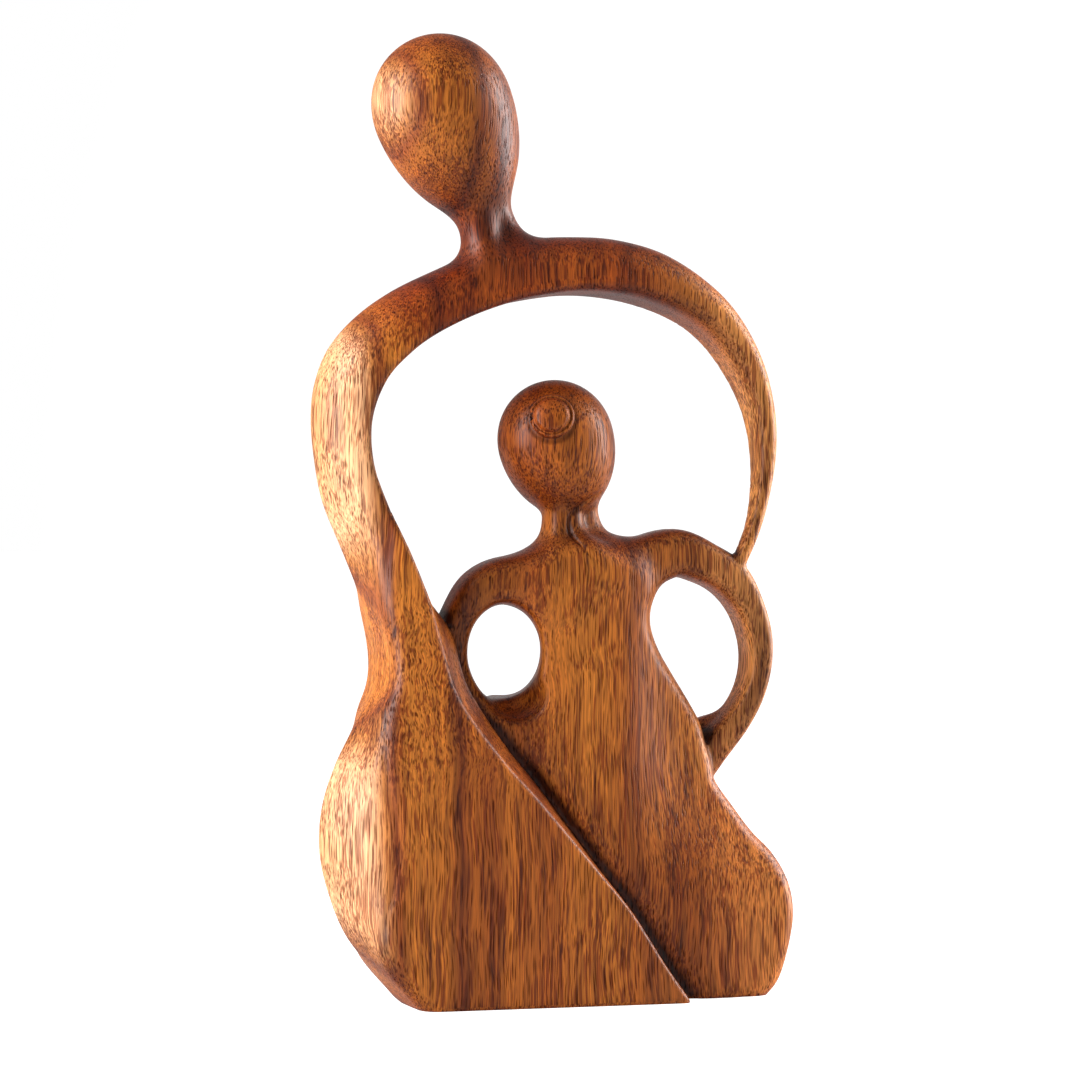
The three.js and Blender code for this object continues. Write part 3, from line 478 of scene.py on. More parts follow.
# %% Child: arms and openings
CHILD_LEFT_ARM = [
    (3, 124.5, 8.5, -3, 11), (-9, 129.6, 7.8, -3, 10.5), (-19.4, 127, 6.9, -3, 10),
    (-26.3, 118.5, 5.4, -2, 9), (-29.4, 107.5, 6, -1, 8.5), (-26.7, 97, 6, 0, 8.5),
    (-21.3, 86.7, 7.6, 0, 9), (-10, 79, 8, 0, 10),
]
CHILD_RIGHT_ARM = [
    (17, 130.5, 9, -3, 11), (30.1, 134.5, 8.4, -3, 10), (42, 138.1, 7.6, -3, 9.5),
    (52.6, 134.7, 6.6, -3, 9), (60.3, 130, 6.3, -2.5, 8.5), (66.2, 121.8, 5.1, -1.5, 8.5),
    (69.8, 112, 4.5, -0.5, 8.5), (70.2, 102.5, 4, 0, 8.5), (67.8, 93.2, 3.9, 0.5, 8.5),
    (62.9, 84.7, 4.5, 1.5, 8), (55.6, 76.1, 5.4, 2.5, 7.6), (50, 67, 5, 3.5, 6.5),
]
CHILD_RIGHT_HAND = [(63.5, 83, 4.5, 8, 4.5), (57, 81.5, 5, 9.5, 4.5), (50, 77, 8, 9, 5)]
ARM_SQUARENESS = 3.4
ARM_OPENING = {"x": -11.2, "z": 107.7, "radii": (11.3, 14), "lean": 0.26, "rounding": 3}
SCOOP = {"middle": (-11.5, -18, 94.5), "radii": (9.5, 14.5, 8.5), "rounding": 2.5}
HIP_POCKET = {
    "middle": (53.2, -4, 86.5), "up": 9, "down": 10, "half": 3, "depth": 8, "taper": 0.4,
    "tilt": -11,
}
HIP_POCKET_ROUNDING = 1
HIP_JOIN = {"low": 1.5, "high": 7, "from": 92, "to": 112}
CHILD_FILLETS = {"left_arm": 6, "hand": 3, "neck": 6, "head": 2}
FIGURES_FILLET = 1


def child_distance(x, y, z, inside):
    left = bar_distance(CHILD_LEFT_ARM, x, y, z, ARM_SQUARENESS)
    arm = bar_distance(CHILD_RIGHT_ARM, x, y, z, ARM_SQUARENESS)
    hand = bar_distance(CHILD_RIGHT_HAND, x, y, z, ARM_SQUARENESS)
    body = join(child_body_distance(x, y, z, inside), left, CHILD_FILLETS["left_arm"])
    pocket = egg_distance(HIP_POCKET, x, y, z)
    limb = cut(join(arm, hand, CHILD_FILLETS["hand"]), -pocket, HIP_POCKET_ROUNDING)
    high = ramp(z, HIP_JOIN["from"], HIP_JOIN["to"])
    shoulders = join(body, limb, mix(HIP_JOIN["low"], HIP_JOIN["high"], high))
    scoop = ball_distance([v - m for v, m in zip((x, y, z), SCOOP["middle"])], SCOOP["radii"])
    bust = join(shoulders, child_neck_distance(x, y, z), CHILD_FILLETS["neck"])
    scooped = cut(bust, -scoop, SCOOP["rounding"])
    across = x - ARM_OPENING["x"] - ARM_OPENING["lean"] * y
    opening = ball_distance((across, z - ARM_OPENING["z"]), ARM_OPENING["radii"])
    opened = cut(scooped, -opening, ARM_OPENING["rounding"])
    away, (depth,) = nearest_station(neck_crease, x, z)
    crease = np.where(y < 0, depth * np.exp(-((away / NECK_CREASE_WIDTH) ** 2)), 0)
    return join(opened, child_head_distance(x, y, z), CHILD_FILLETS["head"]) + crease


def carving_distance(x, y, z):
    """The whole carving, standing on the sawn ground plane."""
    x, z = np.broadcast_arrays(x, z)
    inside = outline_distance(father_inside, x, z)
    father = father_distance(x, y, z, inside)
    wood = join(father, child_distance(x, y, z, inside), FIGURES_FILLET)
    return np.maximum(wood, -z)


print("opening in the left arm", [2 * radius for radius in ARM_OPENING["radii"]], "mm")

# %% [markdown]
# ## A grid of distances
#
# The skin is drawn from the distances, which are worked out at the points of a fine grid. The
# finer it is, the crisper the edges come out, but the more faces there are. Where two pieces of
# wood meet across a corner only, the air between them is filled first, so that the skin never
# touches itself.

# %% Grid of distances
PITCH = 1.16
LOW = (-74.5, -28.0, -1.5 * PITCH)
HIGH = (82.5, 26.0, 301.0)

JUST_WOOD = -0.01 * PITCH

axes = [np.arange(low, high, PITCH) for low, high in zip(LOW, HIGH)]
grid = carving_distance(axes[0][:, None, None], axes[1][None, :, None], axes[2][None, None, :])
print("grid of", grid.shape, "points")


def fill_pinches(values):
    """Fills the air wherever wood meets wood across a corner only, and counts the places."""
    places = 0
    pinched = True
    while pinched:
        pinched = False
        for axis in range(3):
            v = np.moveaxis(values, axis, 2)
            wood = v < 0
            a, b, c, d = wood[:-1, :-1], wood[1:, :-1], wood[1:, 1:], wood[:-1, 1:]
            for i, j, k in np.argwhere((a == c) & (b == d) & (a != b)):
                square = [(i, j, k), (i + 1, j, k), (i + 1, j + 1, k), (i, j + 1, k)]
                air = [place for place in square if v[place] >= 0]
                if len(air) == 2:
                    v[min(air, key=lambda place: v[place])] = JUST_WOOD
                    places += 1
                    pinched = True
    return places


print("pinches filled", fill_pinches(grid))

# %% [markdown]
# ## One skin over the whole carving
#
# A cell of the grid that has wood on one side and air on the other gets one corner of the skin,
# in the middle of the places where the surface crosses the cell's edges. Four such cells around
# a crossed grid edge share one face. That always gives a closed skin, without any joins to mend.

# %% Skin through the grid
def draw_skin(values):
    """Corners in grid steps, and faces of four corners that look outwards."""
    cells = tuple(n - 1 for n in values.shape)
    total = np.zeros(cells + (3,))
    count = np.zeros(cells)
    for axis in range(3):
        v = np.moveaxis(values, axis, 0)
        a, b = v[:-1], v[1:]
        crossed = (a < 0) != (b < 0)
        place = np.where(crossed, a / np.where(crossed, a - b, 1), 0)
        sums, counts = np.moveaxis(total, axis, 0), np.moveaxis(count, axis, 0)
        others = [n for n in range(3) if n != axis]
        for du in (0, 1):
            for dv in (0, 1):
                window = np.s_[:, du : du + sums.shape[1], dv : dv + sums.shape[2]]
                counts += crossed[window]
                sums[..., axis] += place[window]
                sums[..., others[0]] += du * crossed[window]
                sums[..., others[1]] += dv * crossed[window]
    used = np.argwhere(count > 0)
    corners = used + total[tuple(used.T)] / count[tuple(used.T)][:, None]
    number = np.full(cells, -1)
    number[tuple(used.T)] = np.arange(len(used))
    faces = []
    for axis in range(3):
        v = np.moveaxis(values, (axis, (axis + 1) % 3, (axis + 2) % 3), (0, 1, 2))
        n = np.moveaxis(number, (axis, (axis + 1) % 3, (axis + 2) % 3), (0, 1, 2))
        a, b = v[:-1, 1:-1, 1:-1], v[1:, 1:-1, 1:-1]
        around = np.stack([n[:, :-1, :-1], n[:, 1:, :-1], n[:, 1:, 1:], n[:, :-1, 1:]], axis=-1)
        out, back = (a < 0) & (b >= 0), (a >= 0) & (b < 0)
        faces += [around[out], around[back][:, ::-1]]
    return corners, np.vstack(faces), used


corners, faces, used = draw_skin(grid)
print("skin of", len(corners), "corners and", len(faces), "faces")

# %% [markdown]
# ## Sanding
#
# The corners of the skin are evened out among their neighbours and put back on the true surface,
# as sanding does with the tool marks. A Smooth modifier alone would make the thin arm thinner
# still. Corners on the ground stay on the ground, and only the outer ones slide to the edge of
# the wood.

# %% Corners on the true surface
REACH = 0.2
LEAST_STEEPNESS = 0.25
SANDINGS = 3
SANDING_SHARE = 0.5
STROKES = 2


def slope_at(x, y, z, here):
    """Direction and size of the steepest rise of the distance."""
    ahead = [carving_distance(x + dx, y + dy, z + dz) for dx, dy, dz in np.eye(3) * REACH]
    return np.stack([(there - here) / REACH for there in ahead], axis=-1)


def steepness_of(slope):
    return np.maximum((slope**2).sum(axis=1), LEAST_STEEPNESS)


points = np.array(LOW) + corners * PITCH
grounded = used[:, 2] == 1
above = [grid[used[:, 0] + i, used[:, 1] + j, 2] >= 0 for i in (0, 1) for j in (0, 1)]
sole = grounded & ~np.any(above, axis=0)
start = np.concatenate([faces[:, i] for i in range(4)])
end = np.concatenate([faces[:, (i + 1) % 4] for i in range(4)])
neighbours = np.bincount(start, minlength=len(points))

for sanding in range(SANDINGS):
    around = [np.bincount(start, points[end, n], len(points)) / neighbours for n in range(3)]
    share = np.where(grounded, 0, SANDING_SHARE)[:, None]
    points = mix(points, np.stack(around, axis=-1), share)
points[:, 2] = np.where(grounded, 0, points[:, 2])

lift = carving_distance(*points.T)
slope = slope_at(*points.T, lift)
slope[grounded, 2] = 0
steepness = steepness_of(slope)
for stroke in range(STROKES):
    points -= slope * (np.where(sole, 0, np.clip(lift, -PITCH, PITCH)) / steepness)[:, None]
    lift = carving_distance(*points.T)
print("furthest from the true surface, mm", round(float(np.abs(lift[~sole]).max()), 3))

# %% [markdown]
# ## Fine places
#
# Along the robe's crisp edge, in the crease of the child's neck and around the bun, the carver
# changed to a finer tool. There the faces are divided once or twice more, and the new corners
# are put on the true surface as well. A finer grid everywhere would spend most of its faces on
# places that are smooth already.

# %% Finer faces along the edge, the crease and the bun
EDGE_PLACE = {"reach": 1.7, "front": -14, "low": 8, "high": 140}  # mm
CREASE_PLACE = {"reach": 1.8, "front": -3}
BUN_REACH = 9.5
DIVISIONS = 2
FINE_STROKES = 3


def fine_places(x, y, z):
    """How near a place is to the fine carving, smaller than 1 where it's wanted."""
    inside = np.abs(outline_distance(father_inside, x, z)) / EDGE_PLACE["reach"]
    front = (y < EDGE_PLACE["front"]) & (z > EDGE_PLACE["low"]) & (z < EDGE_PLACE["high"])
    edge = np.where(front, inside, 2)
    along = nearest_station(neck_crease, x, z)[0] / CREASE_PLACE["reach"]
    crease = np.where(y < CREASE_PLACE["front"], along, 2)
    bun = np.sqrt(sum((v - m) ** 2 for v, m in zip((x, y, z), BUN["middle"]))) / BUN_REACH
    return edge, np.minimum(crease, bun)


skin = bpy.data.meshes.new("skin")
skin.from_pydata(points.tolist(), [], faces.tolist())
fine = bmesh.new()
fine.from_mesh(skin)
for again in range(DIVISIONS):
    middles = np.array([face.calc_center_median() for face in fine.faces])
    edge, others = fine_places(*middles.T)
    wanted = np.minimum(edge, others) if again == 0 else others
    edges = {e for face, near in zip(fine.faces, wanted) if near < 1 for e in face.edges}
    bmesh.ops.subdivide_edges(fine, edges=list(edges), cuts=1, use_grid_fill=True)
fine.verts.index_update()
faces = [[corner.index for corner in face.verts] for face in fine.faces]
whole = np.array([corner.co for corner in fine.verts])
kept = len(points)
print("corners kept in place", bool(np.allclose(whole[:kept], points, atol=1e-3)))
new = whole[kept:]
for stroke in range(FINE_STROKES):
    lift = carving_distance(*new.T)
    slope = slope_at(*new.T, lift)
    new = new - slope * (np.clip(lift, -PITCH, PITCH) / steepness_of(slope))[:, None]
points = np.vstack([points, new])
grounded = np.concatenate([grounded, np.zeros(len(new), bool)])
slope = slope_at(*points.T, carving_distance(*points.T))
slope[grounded, 2] = 0
print("corners", kept, "and", len(new), "finer ones")

# %% [markdown]
# ## The carving as one mesh
#
# The skin becomes a mesh in metres, standing on the ground at the origin. It takes the place of
# the plain solid. Each corner also keeps how hollow its place is: in creases and under the bun
# the sanding never reached fully, and wax and dust have darkened the wood there. The colour is
# darkened by it as well, as painted shade in those hollows.

# %% Mesh of the carving
HOLLOW_DEPTH = 4.0
SHARP_ANGLE = 65  # degrees, past which an edge isn't shaded smooth

# How hollow each corner is. It later darkens the colour: painted shade in the creases, and the wax
# and dust there.
hollow_places = points + slope * HOLLOW_DEPTH / np.sqrt(steepness_of(slope))[:, None]
crease_shade_and_wax = np.clip(1 - carving_distance(*hollow_places.T) / HOLLOW_DEPTH, 0, 1)
crease_shade_and_wax[grounded] = 0

low, high = (np.array(corner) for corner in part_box(NODE))
placed = np.clip((points + BLOCK_TO_GROUND) * MM, low, high)
mesh = bpy.data.meshes.new("father_and_child")
mesh.from_pydata(placed.tolist(), [], faces)
mesh.shade_smooth()
mesh.set_sharp_from_angle(angle=math.radians(SHARP_ANGLE))
mesh.attributes.new("crease_shade_and_wax", "FLOAT", "POINT").data.foreach_set("value", crease_shade_and_wax.astype("f4"))
mesh.validate()
mesh.update()
carving = bpy.data.objects.new("father_and_child", mesh)
bpy.context.scene.collection.objects.link(carving)
print("mesh of", len(mesh.vertices), "corners and", len(mesh.polygons), "faces")

# %% [markdown]
# ## Colours and nodes
#
# Colours are written as they are read off a screen and turned into light values. One small
# function adds a node, gives it its settings and connects its inputs.

# %% Colours and nodes
def light_value(hex_colour):
    parts = [int(hex_colour[i : i + 2], 16) / 255 for i in (1, 3, 5)]
    return [*(p / 12.92 if p <= 0.04045 else ((p + 0.055) / 1.055) ** 2.4 for p in parts), 1.0]


def add(tree, kind, inputs=None, **settings):
    """Adds a node. Its inputs are values, other nodes or their output sockets."""
    node = tree.nodes.new(kind)
    for name, value in settings.items():
        setattr(node, name, value)
    for name, value in (inputs or {}).items():
        if isinstance(value, bpy.types.Node):
            value = value.outputs[0]
        if isinstance(value, bpy.types.NodeSocket):
            tree.links.new(value, node.inputs[name])
        else:
            node.inputs[name].default_value = value
    return node


print("a middle grey as light", [round(v, 3) for v in light_value("#808080")])

# %% [markdown]
# ## Place in the plank
#
# Suar, or rain tree, is a golden to reddish brown hardwood. Its grain runs up the plank, from the
# underside to the head. All its marks are laid out in millimetres in the block, so that they run
# through the carving: along the faces they show as lines, and across the grain as dots. The
# fibres don't run quite straight. They wander by a millimetre or two over a few centimetres, and
# in the front of the robe they ripple, which makes the flame figure there.

# %% Place in the plank, and the wandering fibres
WANDER = {"every": 32, "across": 4.5}  # mm
RIPPLE = {"every": 9, "across": 3.0}
RIPPLE_PLACE = {  # where the fibres ripple: direction, and from not at all to fully in mm
    "low": ("Z", 58.0, 80.0), "high": ("Z", 140.0, 110.0), "side": ("X", 12.0, -12.0),
}
NOISE_MIDDLE = (0.5, 0.5, 0.5)

wood = bpy.data.materials.new("suar_wood_sanded_and_waxed")
wood.use_nodes = True
tree = wood.node_tree
tree.nodes.clear()

coordinates = add(tree, "ShaderNodeTexCoord")
in_mm = add(tree, "ShaderNodeVectorMath", {
    0: coordinates.outputs["Object"], "Scale": 1 / MM,
}, operation="SCALE")
place = add(tree, "ShaderNodeVectorMath", {
    0: in_mm, 1: [-v for v in BLOCK_TO_GROUND],
}, operation="ADD")
spot = add(tree, "ShaderNodeSeparateXYZ", {0: place})

wander = add(tree, "ShaderNodeTexNoise", {
    "Vector": place, "Scale": 1 / WANDER["every"], "Detail": 1.0,
})
wander_out = add(tree, "ShaderNodeVectorMath", {
    0: wander.outputs["Color"], 1: NOISE_MIDDLE,
}, operation="SUBTRACT")
wander_mm = add(tree, "ShaderNodeVectorMath", {
    0: wander_out, 1: (WANDER["across"], WANDER["across"], 0),
}, operation="MULTIPLY")
bent = add(tree, "ShaderNodeVectorMath", {0: place, 1: wander_mm}, operation="ADD")
print("fibres wander by up to", WANDER["across"] / 2, "mm")

# %% Where the fibres ripple
ripple_here = 1.0
for direction, none, full in RIPPLE_PLACE.values():
    share = add(tree, "ShaderNodeMapRange", {
        "Value": spot.outputs[direction], 1: none, 2: full,
    }, interpolation_type="SMOOTHSTEP")
    ripple_here = add(tree, "ShaderNodeMath", {0: ripple_here, 1: share}, operation="MULTIPLY")
ripple = add(tree, "ShaderNodeTexNoise", {
    "Vector": place, "Scale": 1 / RIPPLE["every"], "Detail": 0.5,
})
ripple_out = add(tree, "ShaderNodeVectorMath", {
    0: ripple.outputs["Color"], 1: NOISE_MIDDLE,
}, operation="SUBTRACT")
ripple_mm = add(tree, "ShaderNodeVectorMath", {
    0: ripple_out, 1: (RIPPLE["across"], RIPPLE["across"], 0),
}, operation="MULTIPLY")
ripple_mm = add(tree, "ShaderNodeVectorMath", {
    0: ripple_mm, "Scale": ripple_here,
}, operation="SCALE")
fibre = add(tree, "ShaderNodeVectorMath", {0: bent, 1: ripple_mm}, operation="ADD")
print("fibres ripple by up to", RIPPLE["across"] / 2, "mm")

# %% [markdown]
# ## Growth rings
#
# The rings of the tree stand almost upright in the plank and cross it a little slantwise. They
# go from pale gold at the left, the outside of the tree, through a redder brown in the middle to
# gold again at the right, with dark late bands between. They bend a little to the right where
# the father's head begins. A picture wrapped round the carving would smear on its rounded sides,
# so a row of colours is laid across the whole block instead.

# %% Growth rings
RING_SLANT = 0.35
RING_FROM, RING_TO = -80.0, 90.0
PLANK_HALF = 25  # mm from the middle of the plank to its front
RINGS = {  # place across the front of the plank in mm, and colour
    -80: "#b47446", -70: "#c0804e", -64: "#dc9c66", -57: "#f0b484", -53: "#b87238",
    -50.5: "#94491d", -47: "#cc782b", -36: "#c87227", -31.5: "#7e3a16", -27.5: "#ba6521",
    -21: "#9a4e1a", -17: "#c26d25", -4: "#b25e20", 3: "#c26e26", 15: "#ca7629", 25: "#be6823",
    28.5: "#9a501e", 34: "#b46426", 50: "#b86a28", 57: "#da8842", 74: "#ec9c52", 90: "#d0803c",
}
RING_BEND = {"from": 228.0, "to": 246.0, "shift": -10.0}  # heights in the plank, and mm across
across = add(tree, "ShaderNodeVectorMath", {
    0: bent, 1: (1, RING_SLANT, 0),
}, operation="DOT_PRODUCT")
bend = add(tree, "ShaderNodeMapRange", {
    "Value": spot.outputs["Z"], 1: RING_BEND["from"], 2: RING_BEND["to"], 4: RING_BEND["shift"],
}, interpolation_type="SMOOTHSTEP")
ring_place = add(tree, "ShaderNodeMapRange", {
    "Value": add(tree, "ShaderNodeMath", {0: across.outputs["Value"], 1: bend}, operation="ADD"),
    1: RING_FROM - PLANK_HALF * RING_SLANT, 2: RING_TO - PLANK_HALF * RING_SLANT,
})
rings = add(tree, "ShaderNodeValToRGB", {0: ring_place})
for n, (mm, colour) in enumerate(RINGS.items()):
    position = (mm - RING_FROM) / (RING_TO - RING_FROM)
    stop = rings.color_ramp.elements[n] if n < 2 else rings.color_ramp.elements.new(position)
    stop.position = position
    stop.color = light_value(colour)
print("rings from", RING_FROM, "to", RING_TO, "mm")

# %% [markdown]
# ## Flecks, streaks and fibres
#
# Suar is never one even colour. Its fibres are bundled into reddish brown flecks on a golden
# ground, about half a millimetre wide and one or two centimetres long, and where the fibres
# ripple they are only 3 mm long. Streaks of a few centimetres and a few darker strokes run
# between them. Each is a noise that is stretched along the fibres by its own length. Single
# fibres are about 0.02 mm wide, far too fine to show, so they are drawn 0.38 mm wide.

# %% Patterns of the grain
GRAIN = {  # width across the front, width through the plank and length, in mm
    "flecks": (0.5, 0.5, 18), "short_flecks": (0.65, 0.65, 2.8), "streaks": (1.5, 2.6, 60),
    "strokes": (1.3, 1.3, 26), "fibres": (0.38, 0.38, 16), "patches": (7, 9, 30),
}
GRAIN_SHIFT = 7.3  # moves each pattern away from the one before
grain = {}
for name, sizes in GRAIN.items():
    stretched = add(tree, "ShaderNodeVectorMath", {
        0: fibre, 1: [1 / size for size in sizes],
    }, operation="MULTIPLY")
    shifted = add(tree, "ShaderNodeVectorMath", {
        0: stretched, 1: (0, 0, GRAIN_SHIFT * len(grain)),
    }, operation="ADD")
    grain[name] = add(tree, "ShaderNodeTexNoise", {
        "Vector": shifted, "Scale": 1.0, "Detail": 2.0,
    })
print("grain of", list(GRAIN))

# %% Colour of the grain
PATCHINESS = 0.5  # how much the number of flecks differs from patch to patch
GRAIN_TONES = {  # the pattern's value from and to, and the share or tone that it gives
    "fleck_share": (0.5, 0.6, 0.0, 0.85), "stroke_share": (0.61, 0.67, 0.0, 0.75),
    "streak_tone": (0.3, 0.7, 0.76, 1.24), "fibre_tone": (0.3, 0.7, 0.7, 1.4),
}
FLECK_TINT = "#a98370"
STROKE_TINT = "#8a6a60"

flecks = add(tree, "ShaderNodeMix", {
    0: ripple_here, 2: grain["flecks"].outputs[0], 3: grain["short_flecks"].outputs[0],
}, data_type="FLOAT")
density = add(tree, "ShaderNodeMath", {
    0: grain["patches"], 1: PATCHINESS, 2: -PATCHINESS / 2,
}, operation="MULTIPLY_ADD")
flecked = add(tree, "ShaderNodeMath", {0: flecks.outputs[0], 1: density}, operation="ADD")
patterns = [flecked, grain["strokes"], grain["streaks"], grain["fibres"]]
tones = {}
for (name, (start, end, least, most)), pattern in zip(GRAIN_TONES.items(), patterns):
    tones[name] = add(tree, "ShaderNodeMapRange", {
        "Value": pattern, 1: start, 2: end, 3: least, 4: most,
    })
tone = add(tree, "ShaderNodeMath", {
    0: tones["streak_tone"], 1: tones["fibre_tone"],
}, operation="MULTIPLY")
ground = add(tree, "ShaderNodeVectorMath", {0: rings, "Scale": tone}, operation="SCALE")
with_flecks = add(tree, "ShaderNodeMix", {
    0: tones["fleck_share"], 6: ground, 7: light_value(FLECK_TINT),
}, data_type="RGBA", blend_type="MULTIPLY")
toned = add(tree, "ShaderNodeMix", {
    0: tones["stroke_share"], 6: with_flecks.outputs[2], 7: light_value(STROKE_TINT),
}, data_type="RGBA", blend_type="MULTIPLY")
print("tones", GRAIN_TONES)

# %% [markdown]
# ## Pores
#
# Suar has coarse open vessels, thin tubes that run with the fibres. Where the surface cuts them
# lengthwise they show as dark dashes of a few millimetres, and on end grain as dots. The real
# tubes are about 0.25 mm wide and 0.6 mm apart. They are drawn 0.4 mm wide and 0.65 mm apart,
# the finest that shows at this distance. Each cell of the pattern holds one dash. It is 11 mm
# long, or 2.8 mm where the fibres ripple.

# %% Pores
PORE_CELL = (0.65, 0.65, 11.0)
PORE_CELL_WAVY = (0.65, 0.65, 2.8)
PORE_WIDTH = 0.4
PORE_EDGE = (1.35, 0.65)  # where a pore begins and is fully open, in half widths
PORE_COLOUR = "#421a0a"
PORE_STRENGTH = 0.7

dashes = []
for cell in (PORE_CELL, PORE_CELL_WAVY):
    pore_place = add(tree, "ShaderNodeVectorMath", {
        0: fibre, 1: [1 / size for size in cell],
    }, operation="MULTIPLY")
    pore_cells = add(tree, "ShaderNodeTexVoronoi", {"Vector": pore_place, "Scale": 1.0})
    dashes.append(pore_cells.outputs["Distance"])
pore_far = add(tree, "ShaderNodeMix", {
    0: ripple_here, 2: dashes[0], 3: dashes[1],
}, data_type="FLOAT")
pore_reach = PORE_WIDTH / 2 / PORE_CELL[0]
pores = add(tree, "ShaderNodeMapRange", {
    "Value": pore_far, 1: pore_reach * PORE_EDGE[0], 2: pore_reach * PORE_EDGE[1],
}, interpolation_type="SMOOTHSTEP")
pored = add(tree, "ShaderNodeMix", {
    0: add(tree, "ShaderNodeMath", {0: pores, 1: PORE_STRENGTH}, operation="MULTIPLY"),
    6: toned.outputs[2], 7: light_value(PORE_COLOUR),
}, data_type="RGBA")
print("pores", PORE_WIDTH, "mm wide")

# %% [markdown]
# ## End grain, dark places and creases
#
# Across the grain the wood drinks more wax and turns darker and redder, so the tops of the
# shoulder and heads are darker than the faces. That darkening of the faces turned up is also
# painted shade, for tops that no lamp lights from above. At the left edge, where the left light
# falls on the shoulder, the tint is mostly left out, as painted light. The heartwood is also a
# little darker in the arch and both heads, and the foot is tinted darker. The right of the
# father's head is darkened as painted shade. Dust and wax darken the creases, and that darkening
# is painted shade in the creases as well.

# %% End grain, and painted shade on the tops
END_GRAIN_AND_TOP_SHADE = {"from": 0.2, "to": 0.95, "share": 0.8, "tint": "#b98460"}  # how far a face looks up
# Painted light: left of the first place the tint is mostly left out, where the left light falls.
LIT_LEFT_EDGE = {"from": -58, "to": -44, "share": 0.15}  # left of the first the end grain stays pale
facing = add(tree, "ShaderNodeSeparateXYZ", {0: coordinates.outputs["Normal"]})
upright = add(tree, "ShaderNodeMath", {0: facing.outputs["Z"]}, operation="ABSOLUTE")
# Faces turned up get the tint: end grain, and painted shade on tops that no lamp lights from above.
end_grain_and_top_shade = add(tree, "ShaderNodeMapRange", {
    "Value": upright, 1: END_GRAIN_AND_TOP_SHADE["from"], 2: END_GRAIN_AND_TOP_SHADE["to"], 3: 0.0, 4: END_GRAIN_AND_TOP_SHADE["share"],
}, interpolation_type="SMOOTHSTEP")
lit_left_share = add(tree, "ShaderNodeMapRange", {
    "Value": spot.outputs["X"], 1: LIT_LEFT_EDGE["from"], 2: LIT_LEFT_EDGE["to"], 3: LIT_LEFT_EDGE["share"],
})
with_end_grain_and_top_shade = add(tree, "ShaderNodeMix", {
    0: add(tree, "ShaderNodeMath", {0: end_grain_and_top_shade, 1: lit_left_share}, operation="MULTIPLY"),
    6: pored.outputs[2], 7: light_value(END_GRAIN_AND_TOP_SHADE["tint"]),
}, data_type="RGBA", blend_type="MULTIPLY")
print("end grain tinted", END_GRAIN_AND_TOP_SHADE["tint"])

# %% Dark places and creases
TINTS = {  # middle across and up, reach across and up in mm, and tint
    "arch": ((-12, 221), (62, 31), "#d4b29c"), "child_head": ((4, 174), (30, 32), "#dacba8"),
    # Painted shade: the right side of the father's head is tinted darker.
    "head": ((-26, 262), (22, 44), "#dfdad6"), "shaded_head_right": ((-8, 262), (14, 44), "#dccabc"),
    # The foot and its right end are tinted darker.
    "foot": ((0, 15), (80, 75), "#efeae2"), "right_foot": ((66, 28), (40, 60), "#e4d0ba"),
}
FULLY_TINTED = 0.55  # share of the reach
# Painted shade in the creases: how hollow a place is darkens its colour, together with the wax and
# dust there.
CREASE_SHADE_AND_WAX = {"from": 0.06, "to": 0.7, "share": 0.95, "tint": "#543224"}  # how hollow a place is
tinted = with_end_grain_and_top_shade
for (x, z), (wide, tall), tint in TINTS.values():
    outwards = add(tree, "ShaderNodeVectorMath", {0: place, 1: (x, 0, z)}, operation="SUBTRACT")
    share = add(tree, "ShaderNodeVectorMath", {
        0: outwards, 1: (1 / wide, 0, 1 / tall),
    }, operation="MULTIPLY")
    far = add(tree, "ShaderNodeVectorMath", {0: share}, operation="LENGTH")
    near = add(tree, "ShaderNodeMapRange", {
        "Value": far.outputs["Value"], 1: 1.0, 2: FULLY_TINTED,
    }, interpolation_type="SMOOTHSTEP")
    tinted = add(tree, "ShaderNodeMix", {
        0: near, 6: tinted.outputs[2], 7: light_value(tint),
    }, data_type="RGBA", blend_type="MULTIPLY")
crease_shade_here = add(tree, "ShaderNodeAttribute", attribute_name="crease_shade_and_wax")
crease_shade_share = add(tree, "ShaderNodeMapRange", {
    "Value": crease_shade_here.outputs["Fac"],
    1: CREASE_SHADE_AND_WAX["from"], 2: CREASE_SHADE_AND_WAX["to"], 3: 0.0, 4: CREASE_SHADE_AND_WAX["share"],
})
with_crease_shade = add(tree, "ShaderNodeMix", {
    0: crease_shade_share, 6: tinted.outputs[2], 7: light_value(CREASE_SHADE_AND_WAX["tint"]),
}, data_type="RGBA", blend_type="MULTIPLY")
print("dark places", list(TINTS))

# %% [markdown]
# ## Wax
#
# The wood is sanded fine and rubbed with wax. That gives a soft shine, broken by the open pores,
# which stay matt and are a few hundredths of a millimetre deep. Nothing that shallow changes the
# outline, so a bump in the material is enough for it.

# %% Wax
ROUGHNESS = {"wax": 0.42, "pores": 0.6}
SHINE = {"wax": 0.26, "pores": 0.05}
PORE_DEPTH = 0.045  # mm
FIBRE_RELIEF = 0.3  # share of the pores' depth
WAX_FILM = {"weight": 0.04, "roughness": 0.28}
roughness = add(tree, "ShaderNodeMapRange", {
    "Value": pores, 1: 0.0, 2: 1.0, 3: ROUGHNESS["wax"], 4: ROUGHNESS["pores"],
})
shine = add(tree, "ShaderNodeMapRange", {
    "Value": pores, 1: 0.0, 2: 1.0, 3: SHINE["wax"], 4: SHINE["pores"],
})
relief = add(tree, "ShaderNodeMath", {0: grain["fibres"], 1: FIBRE_RELIEF}, operation="MULTIPLY")
relief = add(tree, "ShaderNodeMath", {0: relief, 1: pores}, operation="SUBTRACT")
bump = add(tree, "ShaderNodeBump", {
    "Height": relief, "Distance": PORE_DEPTH * MM, "Strength": 1.0,
})
